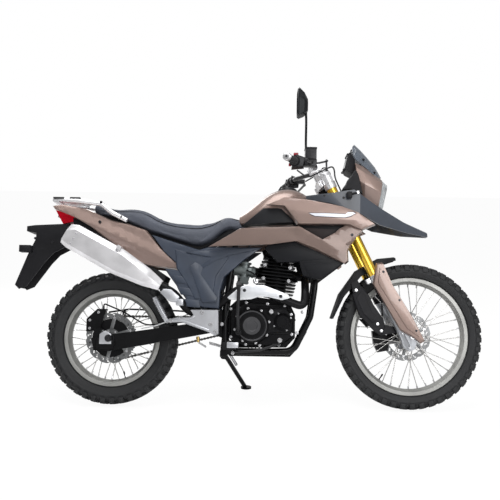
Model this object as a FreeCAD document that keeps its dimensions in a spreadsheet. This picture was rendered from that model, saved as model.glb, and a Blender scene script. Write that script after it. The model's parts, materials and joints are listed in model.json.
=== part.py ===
import FreeCAD, Part
import math
import os
from types import SimpleNamespace

import Sketcher
from FreeCAD import Placement, Rotation, Vector

# A dual sport motorcycle, modelled upright and then leaned onto its side stand.
# Upright frame in millimetres: X forward from the rear axle, Y to the rider's left, Z up from the ground.

SIZES = [
    ("wheelbase", "1420", "rear axle to front axle"),
    ("lean_angle", "12", "lean to the left on the side stand, degrees"),
    ("rake", "26", "steering axis from the vertical, degrees"),
    ("axle_offset", "62", "front axle ahead of the steering axis"),
    ("fork_offset", "24", "fork legs ahead of the steering axis"),
    ("fork_spread", "100", "fork leg from the middle plane"),
    ("fork_top", "866", "top of the fork legs above the front axle, along the steering axis"),
    ("fork_tube_radius", "24", "outer radius of the gold upper tubes"),
    ("fork_slider_radius", "19", "radius of the lower legs"),
    ("slider_top", "334", "top of the lower legs along the steering axis"),
    ("running_gap", "0.3", "clearance between seated pieces"),
    ("front_tyre_radius", "347.5", "to the lug tips"),
    ("front_tyre_width", "90", "across the shoulder lugs"),
    ("front_bead_radius", "266.7", "21 inch rim"),
    ("front_rim_width", "54", "outside the flanges"),
    ("front_lug_height", "9", "depth of the tread blocks"),
    ("front_lug_length", "34", "tread block along the tread"),
    ("front_lug_count", "30", "blocks in one row"),
    ("rear_tyre_radius", "315", "to the lug tips"),
    ("rear_tyre_width", "114", "across the shoulder lugs"),
    ("rear_bead_radius", "215.9", "17 inch rim"),
    ("rear_rim_width", "72", "outside the flanges"),
    ("rear_lug_height", "11", "depth of the tread blocks"),
    ("rear_lug_length", "34", "tread block along the tread"),
    ("rear_lug_count", "28", "blocks in one row"),
    ("flange_height", "13.5", "rim flange above the bead seat"),
    ("flange_thickness", "3", "wall of the rim flange"),
    ("rim_bed_depth", "17", "bead seat down to the spoke nipples"),
    ("spoke_radius", "2.2", "half the spoke's thickness"),
    ("spoke_count", "36", "spokes in one wheel"),
    ("hub_radius", "24", "hub barrel"),
    ("hub_flange_radius", "38", "flange that the spokes hook into"),
    ("hub_half_width", "30", "flange from the middle plane"),
    ("axle_radius", "8.5", "both axles"),
    ("disc_radius", "120", "brake discs, outside"),
    ("disc_thickness", "4", "brake discs"),
    ("disc_band", "28", "width of the braking band"),
    ("front_disc_side", "56", "front disc from the middle plane, left"),
    ("rear_disc_side", "62", "rear disc from the middle plane, right"),
    ("sprocket_radius", "112", "rear sprocket over its teeth"),
    ("sprocket_side", "70", "chain line from the middle plane, left"),
    ("front_sprocket_radius", "36", "front sprocket over its teeth"),
    ("chain_pitch", "15.875", "pin to pin"),
    ("chain_width", "17", "over the link plates"),
    ("chain_height", "13", "height of a link plate"),
    ("pivot_ahead", "490", "swingarm pivot ahead of the rear axle"),
    ("pivot_height", "375", "swingarm pivot above the ground"),
    ("arm_spread", "108", "swingarm tube from the middle plane"),
    ("arm_width", "26", "swingarm tube, across"),
    ("arm_height", "56", "swingarm tube, upright"),
    ("frame_tube", "14", "radius of the cradle tubes"),
    ("cradle_spread", "72", "cradle tubes from the middle plane, front"),
    ("upright_spread", "94", "rear uprights from the middle plane"),
    ("upright_ahead", "542", "rear uprights ahead of the rear axle"),
    ("cradle_height", "262", "bottom tubes above the ground"),
    ("spine_radius", "22", "backbone tube"),
    ("engine_right", "78", "crankcase from the middle plane, right"),
    ("engine_left", "58", "crankcase from the middle plane, left"),
    ("fin_count", "13", "fins on the cylinder and the head"),
    ("fin_pitch", "16", "fin to fin"),
    ("fin_thickness", "5", "one fin"),
    ("header_radius", "19", "exhaust pipe"),
    ("muffler_half_width", "45", "muffler from its own middle"),
    ("muffler_side", "196", "muffler from the middle plane, right"),
    ("panel_thickness", "9", "moulded side panels"),
    ("tank_half_width", "148", "fuel tank at its widest"),
    ("wing_side", "176", "inside of the upper tank shrouds"),
    ("band_side", "160", "inside of the lower tank shrouds"),
    ("side_panel_side", "150", "inside of the side panels, low down"),
    ("tail_side", "104", "inside of the tail panels"),
    ("peg_plate_side", "150", "inside of the passenger peg plates"),
    ("rack_hole_circle", "120", "bolt circle of the luggage holes"),
    ("rack_hole_radius", "3.3", "luggage holes"),
    ("seat_half_width", "118", "seat at its widest"),
    ("bar_radius", "11", "handlebar tube"),
    ("bar_half_width", "400", "handlebar end from the middle plane"),
    ("bar_rise", "59", "middle of the handlebar above the fork legs"),
    ("bar_clamp_side", "40", "handlebar clamps from the middle plane"),
    ("grip_radius", "16.5", "rubber grips"),
    ("grip_length", "125", "rubber grips"),
    ("mirror_side", "345", "mirror head from the middle plane"),
    ("mirror_height", "1383", "middle of the mirror above the ground"),
    ("peg_reach", "262", "rider peg tip from the middle plane"),
    ("peg_ahead", "583", "rider pegs ahead of the rear axle"),
    ("peg_height", "292", "rider pegs above the ground"),
    ("stand_pivot_side", "132", "side stand pivot from the middle plane"),
    ("stand_pivot_ahead", "530", "side stand pivot ahead of the rear axle"),
    ("stand_pivot_height", "246", "side stand pivot above the ground"),
    ("stand_boss", "18", "radius of the side stand's pivot boss"),
    ("stand_foot_side", "318", "side stand foot from the middle plane"),
    ("stand_foot_ahead", "640", "side stand foot ahead of the rear axle"),
    ("origin_ahead", "648", "the part's origin ahead of the rear axle"),
    ("origin_left", "227", "the part's origin left of the tyre line"),
]

doc = FreeCAD.newDocument("DualSport")
sheet = doc.addObject("Spreadsheet::Sheet", "Sizes")
for row, (alias, text, note) in enumerate(SIZES, start=1):
    sheet.set(f"A{row}", alias)
    sheet.set(f"B{row}", text)
    sheet.set(f"C{row}", note)
    sheet.setAlias(f"B{row}", alias)
doc.recompute()
dim = SimpleNamespace(**{alias: float(sheet.get(alias)) for alias, _, _ in SIZES})

LEAN_TURN = Rotation(Vector(1, 0, 0), -dim.lean_angle)
RAKE = math.radians(dim.rake)
pieces = []


def cell(expression):
    """The same expression with each alias read from the sheet."""
    for alias, _, _ in SIZES:
        expression = expression.replace(f"#{alias}", f"Sizes.{alias}")
    return expression


def value(expression):
    return float(sheet.evalExpression(cell(str(expression))))


def edge_drop(end):
    """How much lower than upright a tyre's shoulder blocks reach once the machine leans."""
    lean = math.radians(dim.lean_angle)
    tip, wide = value(f"#{end}_tyre_radius"), value(f"#{end}_tyre_width")
    half_block = value(f"#{end}_lug_length") * BLOCK_SHARE / 2
    corner = math.hypot(tip - 1.5, half_block)
    turn = math.pi / value(f"#{end}_lug_count") - math.atan2(half_block, tip - 1.5)
    return (corner * math.cos(turn) - tip) * math.cos(lean) + wide / 2 * 0.54 * math.sin(lean)


BLOCK_SHARE = 0.72
RISE = edge_drop("rear")
FRONT_AXLE_HEIGHT = dim.front_tyre_radius - (RISE - edge_drop("front")) / math.cos(
    math.radians(dim.lean_angle),
)
LEAN = Placement(Vector(-dim.origin_ahead, -dim.origin_left, RISE), LEAN_TURN)
FORK_BASE = Vector(
    dim.wheelbase - dim.axle_offset * math.cos(RAKE),
    0,
    FRONT_AXLE_HEIGHT - dim.axle_offset * math.sin(RAKE),
)
FORK = Placement(FORK_BASE, Rotation(Vector(0, 1, 0), -dim.rake))
REAR_AXLE = Vector(0, 0, dim.rear_tyre_radius)
FRONT_AXLE = Vector(dim.wheelbase, 0, FRONT_AXLE_HEIGHT)
PIVOT = Vector(dim.pivot_ahead, 0, dim.pivot_height)


def keep(piece, label, place=Placement()):
    """Registers a finished sub-part under its own label, leaned with the whole machine."""
    piece.Label = label
    piece.Placement = LEAN.multiply(place)
    pieces.append(piece)
    return piece


def plain(label, shape, place=Placement()):
    """A sub-part whose form is made from free surfaces or swept tubes."""
    feature = doc.addObject("Part::Feature", label)
    feature.Shape = shape
    return keep(feature, label, place.multiply(feature.Placement))


def new_body():
    owner = doc.addObject("PartDesign::Body", "Body")
    owner.AllowCompound = True
    return owner


def origin_feature(owner, role):
    return next(item for item in owner.Origin.OriginFeatures if item.Role == role)


def sketch(owner, plane, corners=(), circles=(), offset="0", tilt=0.0):
    """Closed straight outline and circles, each corner bound to the sheet."""
    outline = owner.newObject("Sketcher::SketchObject", "Outline")
    outline.AttachmentSupport = [(origin_feature(owner, plane), "")]
    outline.MapMode = "FlatFace"
    outline.AttachmentOffset = Placement(Vector(0, 0, value(offset)), Rotation(Vector(1, 0, 0), tilt))
    outline.setExpression("AttachmentOffset.Base.z", cell(str(offset)))
    points = [Vector(value(across), value(along), 0) for across, along in corners]
    for index, point in enumerate(points):
        outline.addGeometry(Part.LineSegment(point, points[(index + 1) % len(points)]), False)
    for index in range(len(points)):
        joint = Sketcher.Constraint("Coincident", index, 2, (index + 1) % len(points), 1)
        outline.addConstraint(joint)
    for index, (corner, point) in enumerate(zip(corners, points)):
        for kind, text, number in (("DistanceX", corner[0], point.x), ("DistanceY", corner[1], point.y)):
            bound = outline.addConstraint(Sketcher.Constraint(kind, index, 1, number))
            outline.setExpression(f"Constraints[{bound}]", cell(str(text)))
    for across, along, radius in circles:
        centre = Vector(value(across), value(along), 0)
        ring = outline.addGeometry(Part.Circle(centre, Vector(0, 0, 1), value(radius)), False)
        for kind, text, number in (("DistanceX", across, centre.x), ("DistanceY", along, centre.y)):
            bound = outline.addConstraint(Sketcher.Constraint(kind, ring, 3, number))
            outline.setExpression(f"Constraints[{bound}]", cell(str(text)))
        bound = outline.addConstraint(Sketcher.Constraint("Radius", ring, value(radius)))
        outline.setExpression(f"Constraints[{bound}]", cell(str(radius)))
    return outline


def pad(owner, outline, length, middle=False, back=False):
    feature = owner.newObject("PartDesign::Pad", "Pad")
    feature.Profile = outline
    feature.Midplane = middle
    feature.Reversed = back
    feature.setExpression("Length", cell(str(length)))
    doc.recompute()
    return feature


def pocket(owner, outline):
    feature = owner.newObject("PartDesign::Pocket", "Pocket")
    feature.Profile = outline
    feature.Type = 1
    feature.Midplane = True
    doc.recompute()
    return feature


def revolve(owner, outline):
    feature = owner.newObject("PartDesign::Revolution", "Turned")
    feature.Profile = outline
    feature.ReferenceAxis = (outline, ["H_Axis"])
    feature.Angle = 360
    doc.recompute()
    return feature


def polar(owner, features, count, role="Y_Axis"):
    pattern = owner.newObject("PartDesign::PolarPattern", "Pattern")
    pattern.Originals = features
    pattern.Axis = (origin_feature(owner, role), [""])
    pattern.Angle = 360
    pattern.setExpression("Occurrences", cell(str(count)))
    owner.Tip = pattern
    doc.recompute()
    return pattern


def mirrored(shape):
    return shape.mirror(Vector(0, 0, 0), Vector(0, 1, 0))


def both_sides(shape):
    return Part.makeCompound([shape, mirrored(shape)])


def fused(shapes):
    return shapes[0].multiFuse(shapes[1:]).removeSplitter()


def polygon_face(points):
    return Part.Face(Part.makePolygon(points + [points[0]]))


def plate_xz(outline, y_from, y_to):
    """An outline of (x, z) corners, extruded sideways."""
    return polygon_face([Vector(x, y_from, z) for x, z in outline]).extrude(Vector(0, y_to - y_from, 0))


def box(x_range, y_range, z_range):
    size = Vector(x_range[1] - x_range[0], y_range[1] - y_range[0], z_range[1] - z_range[0])
    return Part.makeBox(size.x, size.y, size.z, Vector(x_range[0], y_range[0], z_range[0]))


def rod(start, end, radius):
    return Part.makeCylinder(radius, (end - start).Length, start, end - start)


def hex_rod(start, end, radius):
    """A slim six-sided bar, with few faces."""
    along = end - start
    helper = Vector(0, 0, 1) if abs(along.z) < 0.9 * along.Length else Vector(1, 0, 0)
    across = along.cross(helper).normalize() * radius
    turn = Rotation(along, 60)
    corners = [across]
    for _ in range(5):
        corners.append(turn.multVec(corners[-1]))
    return polygon_face([start + corner for corner in corners]).extrude(along)


def path(points, bend):
    """Straight runs joined by tangent arcs of one bend radius, or less where a run is short."""
    edges = []
    last = points[0]
    for before, corner, after in zip(points, points[1:], points[2:]):
        back = (before - corner).normalize()
        ahead = (after - corner).normalize()
        half = back.getAngle(ahead) / 2
        room = 0.45 * min((before - corner).Length, (after - corner).Length)
        reach = min(bend / math.tan(half), room)
        radius = reach * math.tan(half)
        start, end = corner + back * reach, corner + ahead * reach
        bisector = (back + ahead).normalize()
        middle = corner + bisector * (radius / math.sin(half) - radius)
        edges.append(Part.LineSegment(last, start).toShape())
        edges.append(Part.Arc(start, middle, end).toShape())
        last = end
    edges.append(Part.LineSegment(last, points[-1]).toShape())
    return Part.Wire(edges)


def tube(points, radius, bend=60.0):
    """A round bar or tube along a bent route."""
    spine = path(points, bend) if len(points) > 2 else Part.Wire([Part.LineSegment(*points).toShape()])
    start = points[0]
    circle = Part.Wire([Part.Circle(start, points[1] - points[0], radius).toShape()])
    return spine.makePipeShell([circle], True, False)


def section(x, half_width, low, high, fullness=2.6, count=12):
    """A closed smooth cross-section at one station, round at 2 and squarer above it."""
    middle, rise = (low + high) / 2, (high - low) / 2
    points = []
    for index in range(count):
        angle = 2 * math.pi * (index + 0.5) / count
        across, up = math.cos(angle), math.sin(angle)
        y = half_width * math.copysign(abs(across) ** (2 / fullness), across)
        z = middle + rise * math.copysign(abs(up) ** (2 / fullness), up)
        points.append(Vector(x, y, z))
    curve = Part.BSplineCurve()
    curve.interpolate(points, PeriodicFlag=True)
    return Part.Wire([curve.toShape()])


def loft(wires, ruled=False):
    return Part.makeLoft(wires, True, ruled)


def corner_loft(stations):
    """Flat-faced body through polygon stations, each a list of (x, y, z)."""
    wires = []
    for station in stations:
        points = [Vector(*point) for point in station]
        wires.append(Part.makePolygon(points + [points[0]]))
    return loft(wires, ruled=True)


def leaned_station(low, high, half):
    """A symmetric station in one sloping plane.

    low and high are (x, z); half holds (y, share of the height) from the bottom up.
    """
    points = []
    for y, share in half:
        points.append((low[0] + (high[0] - low[0]) * share, y, low[1] + (high[1] - low[1]) * share))
    return [(x, -y, z) for x, y, z in points] + [(x, y, z) for x, y, z in reversed(points)]


def bevelled(outline, y_inside, y_outside, inset, tuck=0.0, datum=0.0):
    """A moulded panel on the right side: full outline inside, a smaller one outside, edges sloped between.

    tuck draws it in towards the middle plane for each millimetre above datum.
    """
    centre_x = sum(x for x, _ in outline) / len(outline)
    centre_z = sum(z for _, z in outline) / len(outline)
    inner, outer = [], []
    for x, z in outline:
        reach = math.hypot(x - centre_x, z - centre_z)
        shrink = max(0.0, 1 - inset / max(reach, 1.0))
        far_x, far_z = centre_x + (x - centre_x) * shrink, centre_z + (z - centre_z) * shrink
        inner.append((x, -y_inside + tuck * (z - datum), z))
        outer.append((far_x, -y_outside + tuck * (far_z - datum), far_z))
    return corner_loft([inner, outer])


# Wheels


def make_tyre(end, place):
    """Carcass turned about the axle, with a centre row and two shoulder rows of tread blocks."""
    tip, lug = f"#{end}_tyre_radius", f"#{end}_lug_height"
    crown = f"({tip} - {lug})"
    bead = f"(#{end}_bead_radius + #running_gap)"
    seat = f"(#{end}_rim_width / 2 - #flange_thickness - #running_gap)"
    wide = f"(#{end}_tyre_width / 2)"
    half = [
        (seat, f"{bead}"),
        (seat, f"{bead} + #flange_height + 2"),
        (f"{wide} * 0.84", f"{bead} * 0.6 + {crown} * 0.4"),
        (f"{wide} * 0.9", f"{bead} * 0.4 + {crown} * 0.6"),
        (f"{wide} * 0.84", f"{crown} - 14"),
        (f"{wide} * 0.46", f"{crown} - 3"),
    ]
    owner = new_body()
    corners = half + [(f"-({across})", along) for across, along in reversed(half)]
    revolve(owner, sketch(owner, "YZ_Plane", corners))
    centre_row = [
        (f"-{wide} * 0.36", f"{crown} - 6"),
        (f"{wide} * 0.36", f"{crown} - 6"),
        (f"{wide} * 0.32", f"{tip} - 0.5"),
        (f"-{wide} * 0.32", f"{tip} - 0.5"),
    ]
    centre = pad(owner, sketch(owner, "YZ_Plane", centre_row), f"#{end}_lug_length", middle=True)
    polar(owner, [centre], f"#{end}_lug_count")
    shoulder = [
        (f"{wide} * 0.5", f"{crown} - 8"),
        (f"{wide} * 0.54", f"{tip} - 1.5"),
        (f"{wide} * 0.8", f"{tip} - 5"),
        (wide, f"{crown} - 8"),
        (wide, f"{crown} - 24"),
        (f"{wide} * 0.8", f"{crown} - 24"),
    ]
    rows = []
    tilt = 180 / value(f"#{end}_lug_count")
    for side in ("", "-"):
        corners = [(f"{side}({across})", along) for across, along in shoulder]
        if side:
            corners.reverse()
        outline = sketch(owner, "YZ_Plane", corners, tilt=tilt)
        rows.append(pad(owner, outline, f"#{end}_lug_length * {BLOCK_SHARE}", middle=True))
    polar(owner, rows, f"#{end}_lug_count")
    keep(owner, f"{end}_tyre", place)


def make_rim(end, place):
    bead, wide = f"#{end}_bead_radius", f"(#{end}_rim_width / 2)"
    lip = "#flange_height"
    half = [
        (wide, f"{bead} + {lip}"),
        (f"{wide} - #flange_thickness", f"{bead} + {lip}"),
        (f"{wide} - #flange_thickness", bead),
        (f"{wide} * 0.45", bead),
        (f"{wide} * 0.4", f"{bead} - 9"),
    ]
    outside = [
        (f"{wide} * 0.3", f"{bead} - #rim_bed_depth"),
        (f"{wide} * 0.6", f"{bead} - 9"),
        (wide, f"{bead} - 4"),
    ]
    corners = half + [(f"-({a})", b) for a, b in reversed(half)]
    corners += [(f"-({a})", b) for a, b in reversed(outside)] + outside
    owner = new_body()
    revolve(owner, sketch(owner, "YZ_Plane", corners))
    keep(owner, f"{end}_rim", place)


FLANGE_LEAN = 6


def make_hub(end, place):
    flange, barrel, wide = "#hub_flange_radius", "#hub_radius", "#hub_half_width"
    bore = "#axle_radius + #running_gap"
    left = "#front_disc_side - #disc_thickness / 2" if end == "front" else "#sprocket_side - 4"
    right = "#hub_half_width + 12" if end == "front" else "#rear_disc_side - #disc_thickness / 2"
    corners = [
        (f"-({right})", bore),
        (f"-({right})", barrel),
        (f"-{wide} - 4", barrel),
        (f"-{wide} - 4", flange),
        (f"-{wide}", flange),
        (f"-{wide} + {FLANGE_LEAN}", barrel),
        (f"{wide} - {FLANGE_LEAN}", barrel),
        (wide, flange),
        (f"{wide} + 4", flange),
        (f"{wide} + 4", f"{barrel} + 8"),
        (left, f"{barrel} + 8"),
        (left, bore),
    ]
    owner = new_body()
    revolve(owner, sketch(owner, "YZ_Plane", corners))
    keep(owner, f"{end}_hub", place)


SPOKE_SLANT = 2.2


def make_spokes(end, place):
    """Crossed spokes from both hub flanges to the rim bed."""
    rim_at = value(f"#{end}_bead_radius") - dim.rim_bed_depth - 2 * dim.running_gap
    hub_at = dim.hub_flange_radius - 1.5 * dim.spoke_radius
    reach = dim.hub_flange_radius - hub_at + dim.spoke_radius
    lean = FLANGE_LEAN * reach / (dim.hub_flange_radius - dim.hub_radius)
    count = round(dim.spoke_count)
    spokes = []
    for index in range(count):
        side = 1 if index % 2 else -1
        pull = 1 if (index // 2) % 2 else -1
        rim_angle = math.radians(360 * index / count)
        hub_angle = rim_angle + pull * math.radians(62)
        clear = 2 + dim.spoke_radius + dim.running_gap + (SPOKE_SLANT if pull > 0 else lean)
        layer = dim.hub_half_width + 2 + pull * clear
        start = Vector(hub_at * math.cos(hub_angle), side * layer, hub_at * math.sin(hub_angle))
        end_point = Vector(rim_at * math.cos(rim_angle), side * 3, rim_at * math.sin(rim_angle))
        spokes.append(hex_rod(start, end_point, dim.spoke_radius))
    plain(f"{end}_spokes", Part.makeCompound(spokes), place)


def make_disc(end, place):
    """Wave-edged brake disc, its carrier arms and the ring that bolts to the hub."""
    side = "-#front_disc_side" if end == "front" else "#rear_disc_side"
    owner = new_body()
    face = "XZ_Plane"
    band = sketch(
        owner, face, circles=[("0", "0", "#disc_radius"), ("0", "0", "#disc_radius - #disc_band")],
        offset=side,
    )
    pad(owner, band, "#disc_thickness", middle=True)
    ring = [("0", "0", "#hub_radius + 20"), ("0", "0", "#axle_radius + 12")]
    pad(owner, sketch(owner, face, circles=ring, offset=side), "#disc_thickness", middle=True)
    arm = [
        ("-9", "#hub_radius + 14"),
        ("9", "#hub_radius + 14"),
        ("22", "#disc_radius - #disc_band + 4"),
        ("6", "#disc_radius - #disc_band + 4"),
    ]
    spider = pad(owner, sketch(owner, face, arm, offset=side), "#disc_thickness", middle=True)
    polar(owner, [spider], "6")
    wave = sketch(owner, face, circles=[("0", "#disc_radius + 9", "14")], offset=side)
    polar(owner, [pocket(owner, wave)], "12")
    keep(owner, f"{end}_disc", place)


def make_sprocket(place):
    owner = new_body()
    face = "XZ_Plane"
    side = "-#sprocket_side"
    outer = "#sprocket_radius - #chain_height - 1"
    ring = [("0", "0", outer), ("0", "0", "#axle_radius + 14")]
    pad(owner, sketch(owner, face, circles=ring, offset=side), "7", middle=True)
    hole = sketch(
        owner, face, circles=[("0", "(#sprocket_radius + #hub_radius) / 2 + 2", "17")], offset=side,
    )
    polar(owner, [pocket(owner, hole)], "6")
    keep(owner, "rear_sprocket", place)


def make_wheels():
    for end, centre in (("front", FRONT_AXLE), ("rear", REAR_AXLE)):
        place = Placement(centre, Rotation())
        make_tyre(end, place)
        make_rim(end, place)
        make_hub(end, place)
        make_spokes(end, place)
        make_disc(end, place)
    make_sprocket(Placement(REAR_AXLE, Rotation()))


# Steering: everything here stands in the fork's own frame, Z along the steering axis


def fork_point(x, y, z):
    return FORK.multVec(Vector(x, y, z))


STEM_RADIUS = 14
YOKE_DROP = 252
YOKE_THICK = 38
CLAMP_WALL = 9
SWING_GAP = 5
FORK_REACH = math.hypot(dim.fork_offset, dim.fork_spread) + dim.fork_tube_radius


def swept(low, high, reach):
    """Room that the turning fork needs around the steering axis between two heights."""
    return rod(
        fork_point(0, 0, low - SWING_GAP), fork_point(0, 0, high + SWING_GAP), reach + SWING_GAP,
    )


def make_fork():
    spread = dim.fork_spread
    leg_x = dim.fork_offset
    tubes = rod(
        Vector(leg_x, -spread, dim.slider_top), Vector(leg_x, -spread, dim.fork_top),
        dim.fork_tube_radius,
    )
    cap = rod(Vector(leg_x, -spread, dim.fork_top), Vector(leg_x, -spread, dim.fork_top + 8), 13)
    plain("fork_tubes", both_sides(tubes.fuse(cap)), FORK)

    slider = rod(
        Vector(leg_x, -spread, -40), Vector(leg_x, -spread, dim.slider_top), dim.fork_slider_radius,
    )
    wiper = rod(
        Vector(leg_x, -spread, dim.slider_top - 26), Vector(
            leg_x, -spread, dim.slider_top - 0.3,
        ), dim.fork_tube_radius + 2
    )
    clamp = [
        (leg_x - 12, 46), (leg_x - 23, -28), (leg_x - 5, -57), (leg_x + 21, -57),
        (dim.axle_offset + 18, -16), (dim.axle_offset + 18, 16), (leg_x + 16, 58),
    ]
    foot = plate_xz(clamp, -spread - 17, -spread + 17)
    legs = both_sides(fused([slider, wiper, foot]))
    axle_start = Vector(dim.axle_offset, -spread - 22, 0)
    axle_end = Vector(dim.axle_offset, spread + 22, 0)
    legs = legs.fuse(rod(axle_start, axle_end, dim.axle_radius))
    plain("fork_sliders", legs, FORK)

    guard = [
        (-2, 302), (56, 383), (84, 372), (80, 265), (100, 76), (101, -41), (78, -44), (60, -6), (18, 53),
    ]
    inner = spread + dim.fork_tube_radius + 2 + dim.running_gap
    shell = bevelled(guard, inner, inner + 12, 10)
    ridge = [(20, 300), (60, 362), (72, 262), (90, 70), (84, -20), (50, 40), (30, 160)]
    plain(
        "fork_guards", both_sides(shell.fuse(bevelled(ridge, inner + 5, inner + 17, 9)).removeSplitter()),
        FORK,
    )
    plain(
        "fork_yokes",
        fused([make_yoke(dim.fork_top - 28, 34), make_yoke(dim.fork_top - YOKE_DROP, YOKE_THICK)] + make_risers()),
        FORK,
    )


def make_yoke(height, thick):
    """One clamp plate across both fork legs, waisted towards the stem."""
    x, spread = dim.fork_offset, dim.fork_spread
    web = [
        (x + 30, -spread - 22), (x + 31, -spread + 12), (x + 20, -40), (x + 20, 40),
        (x + 31, spread - 12), (x + 30, spread + 22), (x - 26, spread + 24),
        (-12, spread - 30), (-24, 24), (-24, -24), (-12, 30 - spread), (x - 26, -spread - 24),
    ]
    corners = [Vector(along, y, height - thick / 2) for along, y in web]
    slab = polygon_face(corners).extrude(Vector(0, 0, thick))
    for side in (-1, 1):
        low, high = Vector(
            x, side * spread, height - thick / 2,
        ), Vector(x, side * spread, height + thick / 2)
        slab = slab.fuse(rod(low, high, dim.fork_tube_radius + CLAMP_WALL))
        slab = slab.fuse(
            box(
                (x - 46, x - 20), sorted((side * (spread - 9), side * (spread + 9))),
                (low.z + 3, high.z - 3),
            ),
        )
        slab = slab.cut(rod(low - Vector(0, 0, thick), high + Vector(0, 0, thick), dim.fork_tube_radius))
    return slab.removeSplitter()


def make_risers():
    """Stem, and the two posts whose caps hold the handlebar."""
    bar_height = dim.fork_top + dim.bar_rise
    parts = [rod(Vector(0, 0, dim.fork_top - YOKE_DROP), Vector(0, 0, dim.fork_top - 11), STEM_RADIUS)]
    for side in (-1, 1):
        y = side * dim.bar_clamp_side
        post = rod(Vector(BAR_AHEAD, y, dim.fork_top - 20), Vector(BAR_AHEAD, y, bar_height), 15)
        cap = box((BAR_AHEAD - 26, BAR_AHEAD + 26), (y - 17, y + 17), (bar_height - 18, bar_height + 19))
        grip = rod(
            Vector(BAR_AHEAD, y - 30, bar_height), Vector(BAR_AHEAD, y + 30, bar_height),
            dim.bar_radius + dim.running_gap,
        )
        parts.append(post.fuse(cap).cut(grip))
    return parts


BAR_AHEAD = 5
BAR_KNEE = 215


def bar_points():
    """Handlebar route from the right end to the left end: grips, rise and straight middle."""
    half, rise = dim.bar_half_width, dim.fork_top + dim.bar_rise
    right = [(-139.5, -half, rise + 42), (-76, BAR_KNEE - half, rise + 29), (BAR_AHEAD, -88, rise)]
    left = [(x, -y, z) for x, y, z in reversed(right)]
    return [fork_point(*point) for point in right + left]


def bar_end(side):
    """Outer end of the handlebar on one side and the way inwards along its grip."""
    points = bar_points()
    outer = Vector(points[0].x, side * dim.bar_half_width, points[0].z)
    inner = Vector(points[1].x, side * abs(points[1].y), points[1].z)
    return outer, inner, (inner - outer).normalize()


def make_handlebar():
    bar = tube(bar_points(), dim.bar_radius, 50)
    plain("handlebar", bar)

    grips, ends, controls = [], [], []
    for side in (-1, 1):
        outer, inner, along = bar_end(side)
        start = outer + along * 2
        sleeve = rod(start, start + along * dim.grip_length, dim.grip_radius)
        collar = rod(
            start + along * (dim.grip_length - 5), start + along * dim.grip_length, dim.grip_radius + 4,
        )
        grips.append(sleeve.fuse(collar).cut(rod(outer, inner, dim.bar_radius)))
        ends.append(rod(outer - along * 20, outer - along * 0.3, dim.grip_radius + 2))
        controls.append(make_switchgear(side, outer + along * (dim.grip_length + 3)).cut(bar))
    plain("grips", Part.makeCompound(grips))
    plain("bar_ends", Part.makeCompound(ends))
    plain("bar_controls", Part.makeCompound(controls))
    make_mirror()


PERCH_AT = 57
RESERVOIR_TOP = 66


def make_switchgear(side, start):
    """Switch housing beside the grip, lever perch, lever, and on the right the brake's master cylinder."""
    outer, _, along = bar_end(side)
    wide = side * 17
    housing = rod(start, start + along * 42, 25)
    middle = start + along * 21
    face = corner_loft([
        [(middle.x - 18, middle.y - wide, middle.z - 36), (middle.x + 40, middle.y - wide, middle.z - 30),
         (middle.x + 46, middle.y - wide, middle.z + 22), (middle.x + 4, middle.y - wide, middle.z + 36)],
        [(middle.x - 18, middle.y + wide, middle.z - 30), (middle.x + 34, middle.y + wide, middle.z - 24),
         (middle.x + 40, middle.y + wide, middle.z + 18), (middle.x + 4, middle.y + wide, middle.z + 30)],
    ])
    centre = start + along * PERCH_AT
    perch = [rod(start + along * 43, start + along * 70, 18), box_at(centre, (0, 62), (-11, 11), (-14, 8))]
    if side < 0:
        perch.append(box_at(centre, (34, 90), (-24, 24), (-18, 12)))
        perch.append(box_at(centre, (36, 88), (-30, 30), (14, RESERVOIR_TOP)))
        perch.append(box_at(centre, (44, 78), (-18, 18), (10, 16)))
    root = centre + Vector(56, side * 6, -3)
    tip = outer + Vector(84, side * 4, -14)
    bend = root + (tip - root) * 0.28 + Vector(14, 0, 0)
    lever = [
        hex_rod(root, bend, 7), hex_rod(bend, tip, 6), Part.makeSphere(8.2, bend),
        Part.makeSphere(9, tip),
    ]
    return fused([housing, face] + perch + lever)


def box_at(centre, x_range, y_range, z_range):
    block = box(x_range, y_range, z_range)
    block.translate(centre)
    return block


def make_mirror():
    """The right mirror: a stem from the brake's reservoir and a head that narrows towards its top."""
    outer, _, along = bar_end(-1)
    perch = outer + along * (dim.grip_length + 3 + PERCH_AT)
    root = perch + Vector(40, 0, RESERVOIR_TOP + 1.3)
    neck = Vector(root.x - 8, -dim.mirror_side + 12, dim.mirror_height - 34)
    stem = tube([root, root + Vector(-1, -6, 30), neck + Vector(2, 4, -40), neck], 5.5, 60)
    head = corner_loft([
        [(0, 66, -52), (0, -58, -64), (0, -70, 20), (0, -52, 62), (0, 40, 66), (0, 70, 30)],
        [(24, 60, -44), (24, -54, -54), (24, -62, 10), (24, -46, 40), (24, 36, 44), (24, 60, 22)],
        [(40, 40, -34), (40, -38, -40), (40, -44, -6), (40, -30, 14), (40, 24, 16), (40, 42, 6)],
    ])
    head.translate(Vector(neck.x - 34, -dim.mirror_side, dim.mirror_height))
    plain("mirror", fused([stem, head]))


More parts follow.
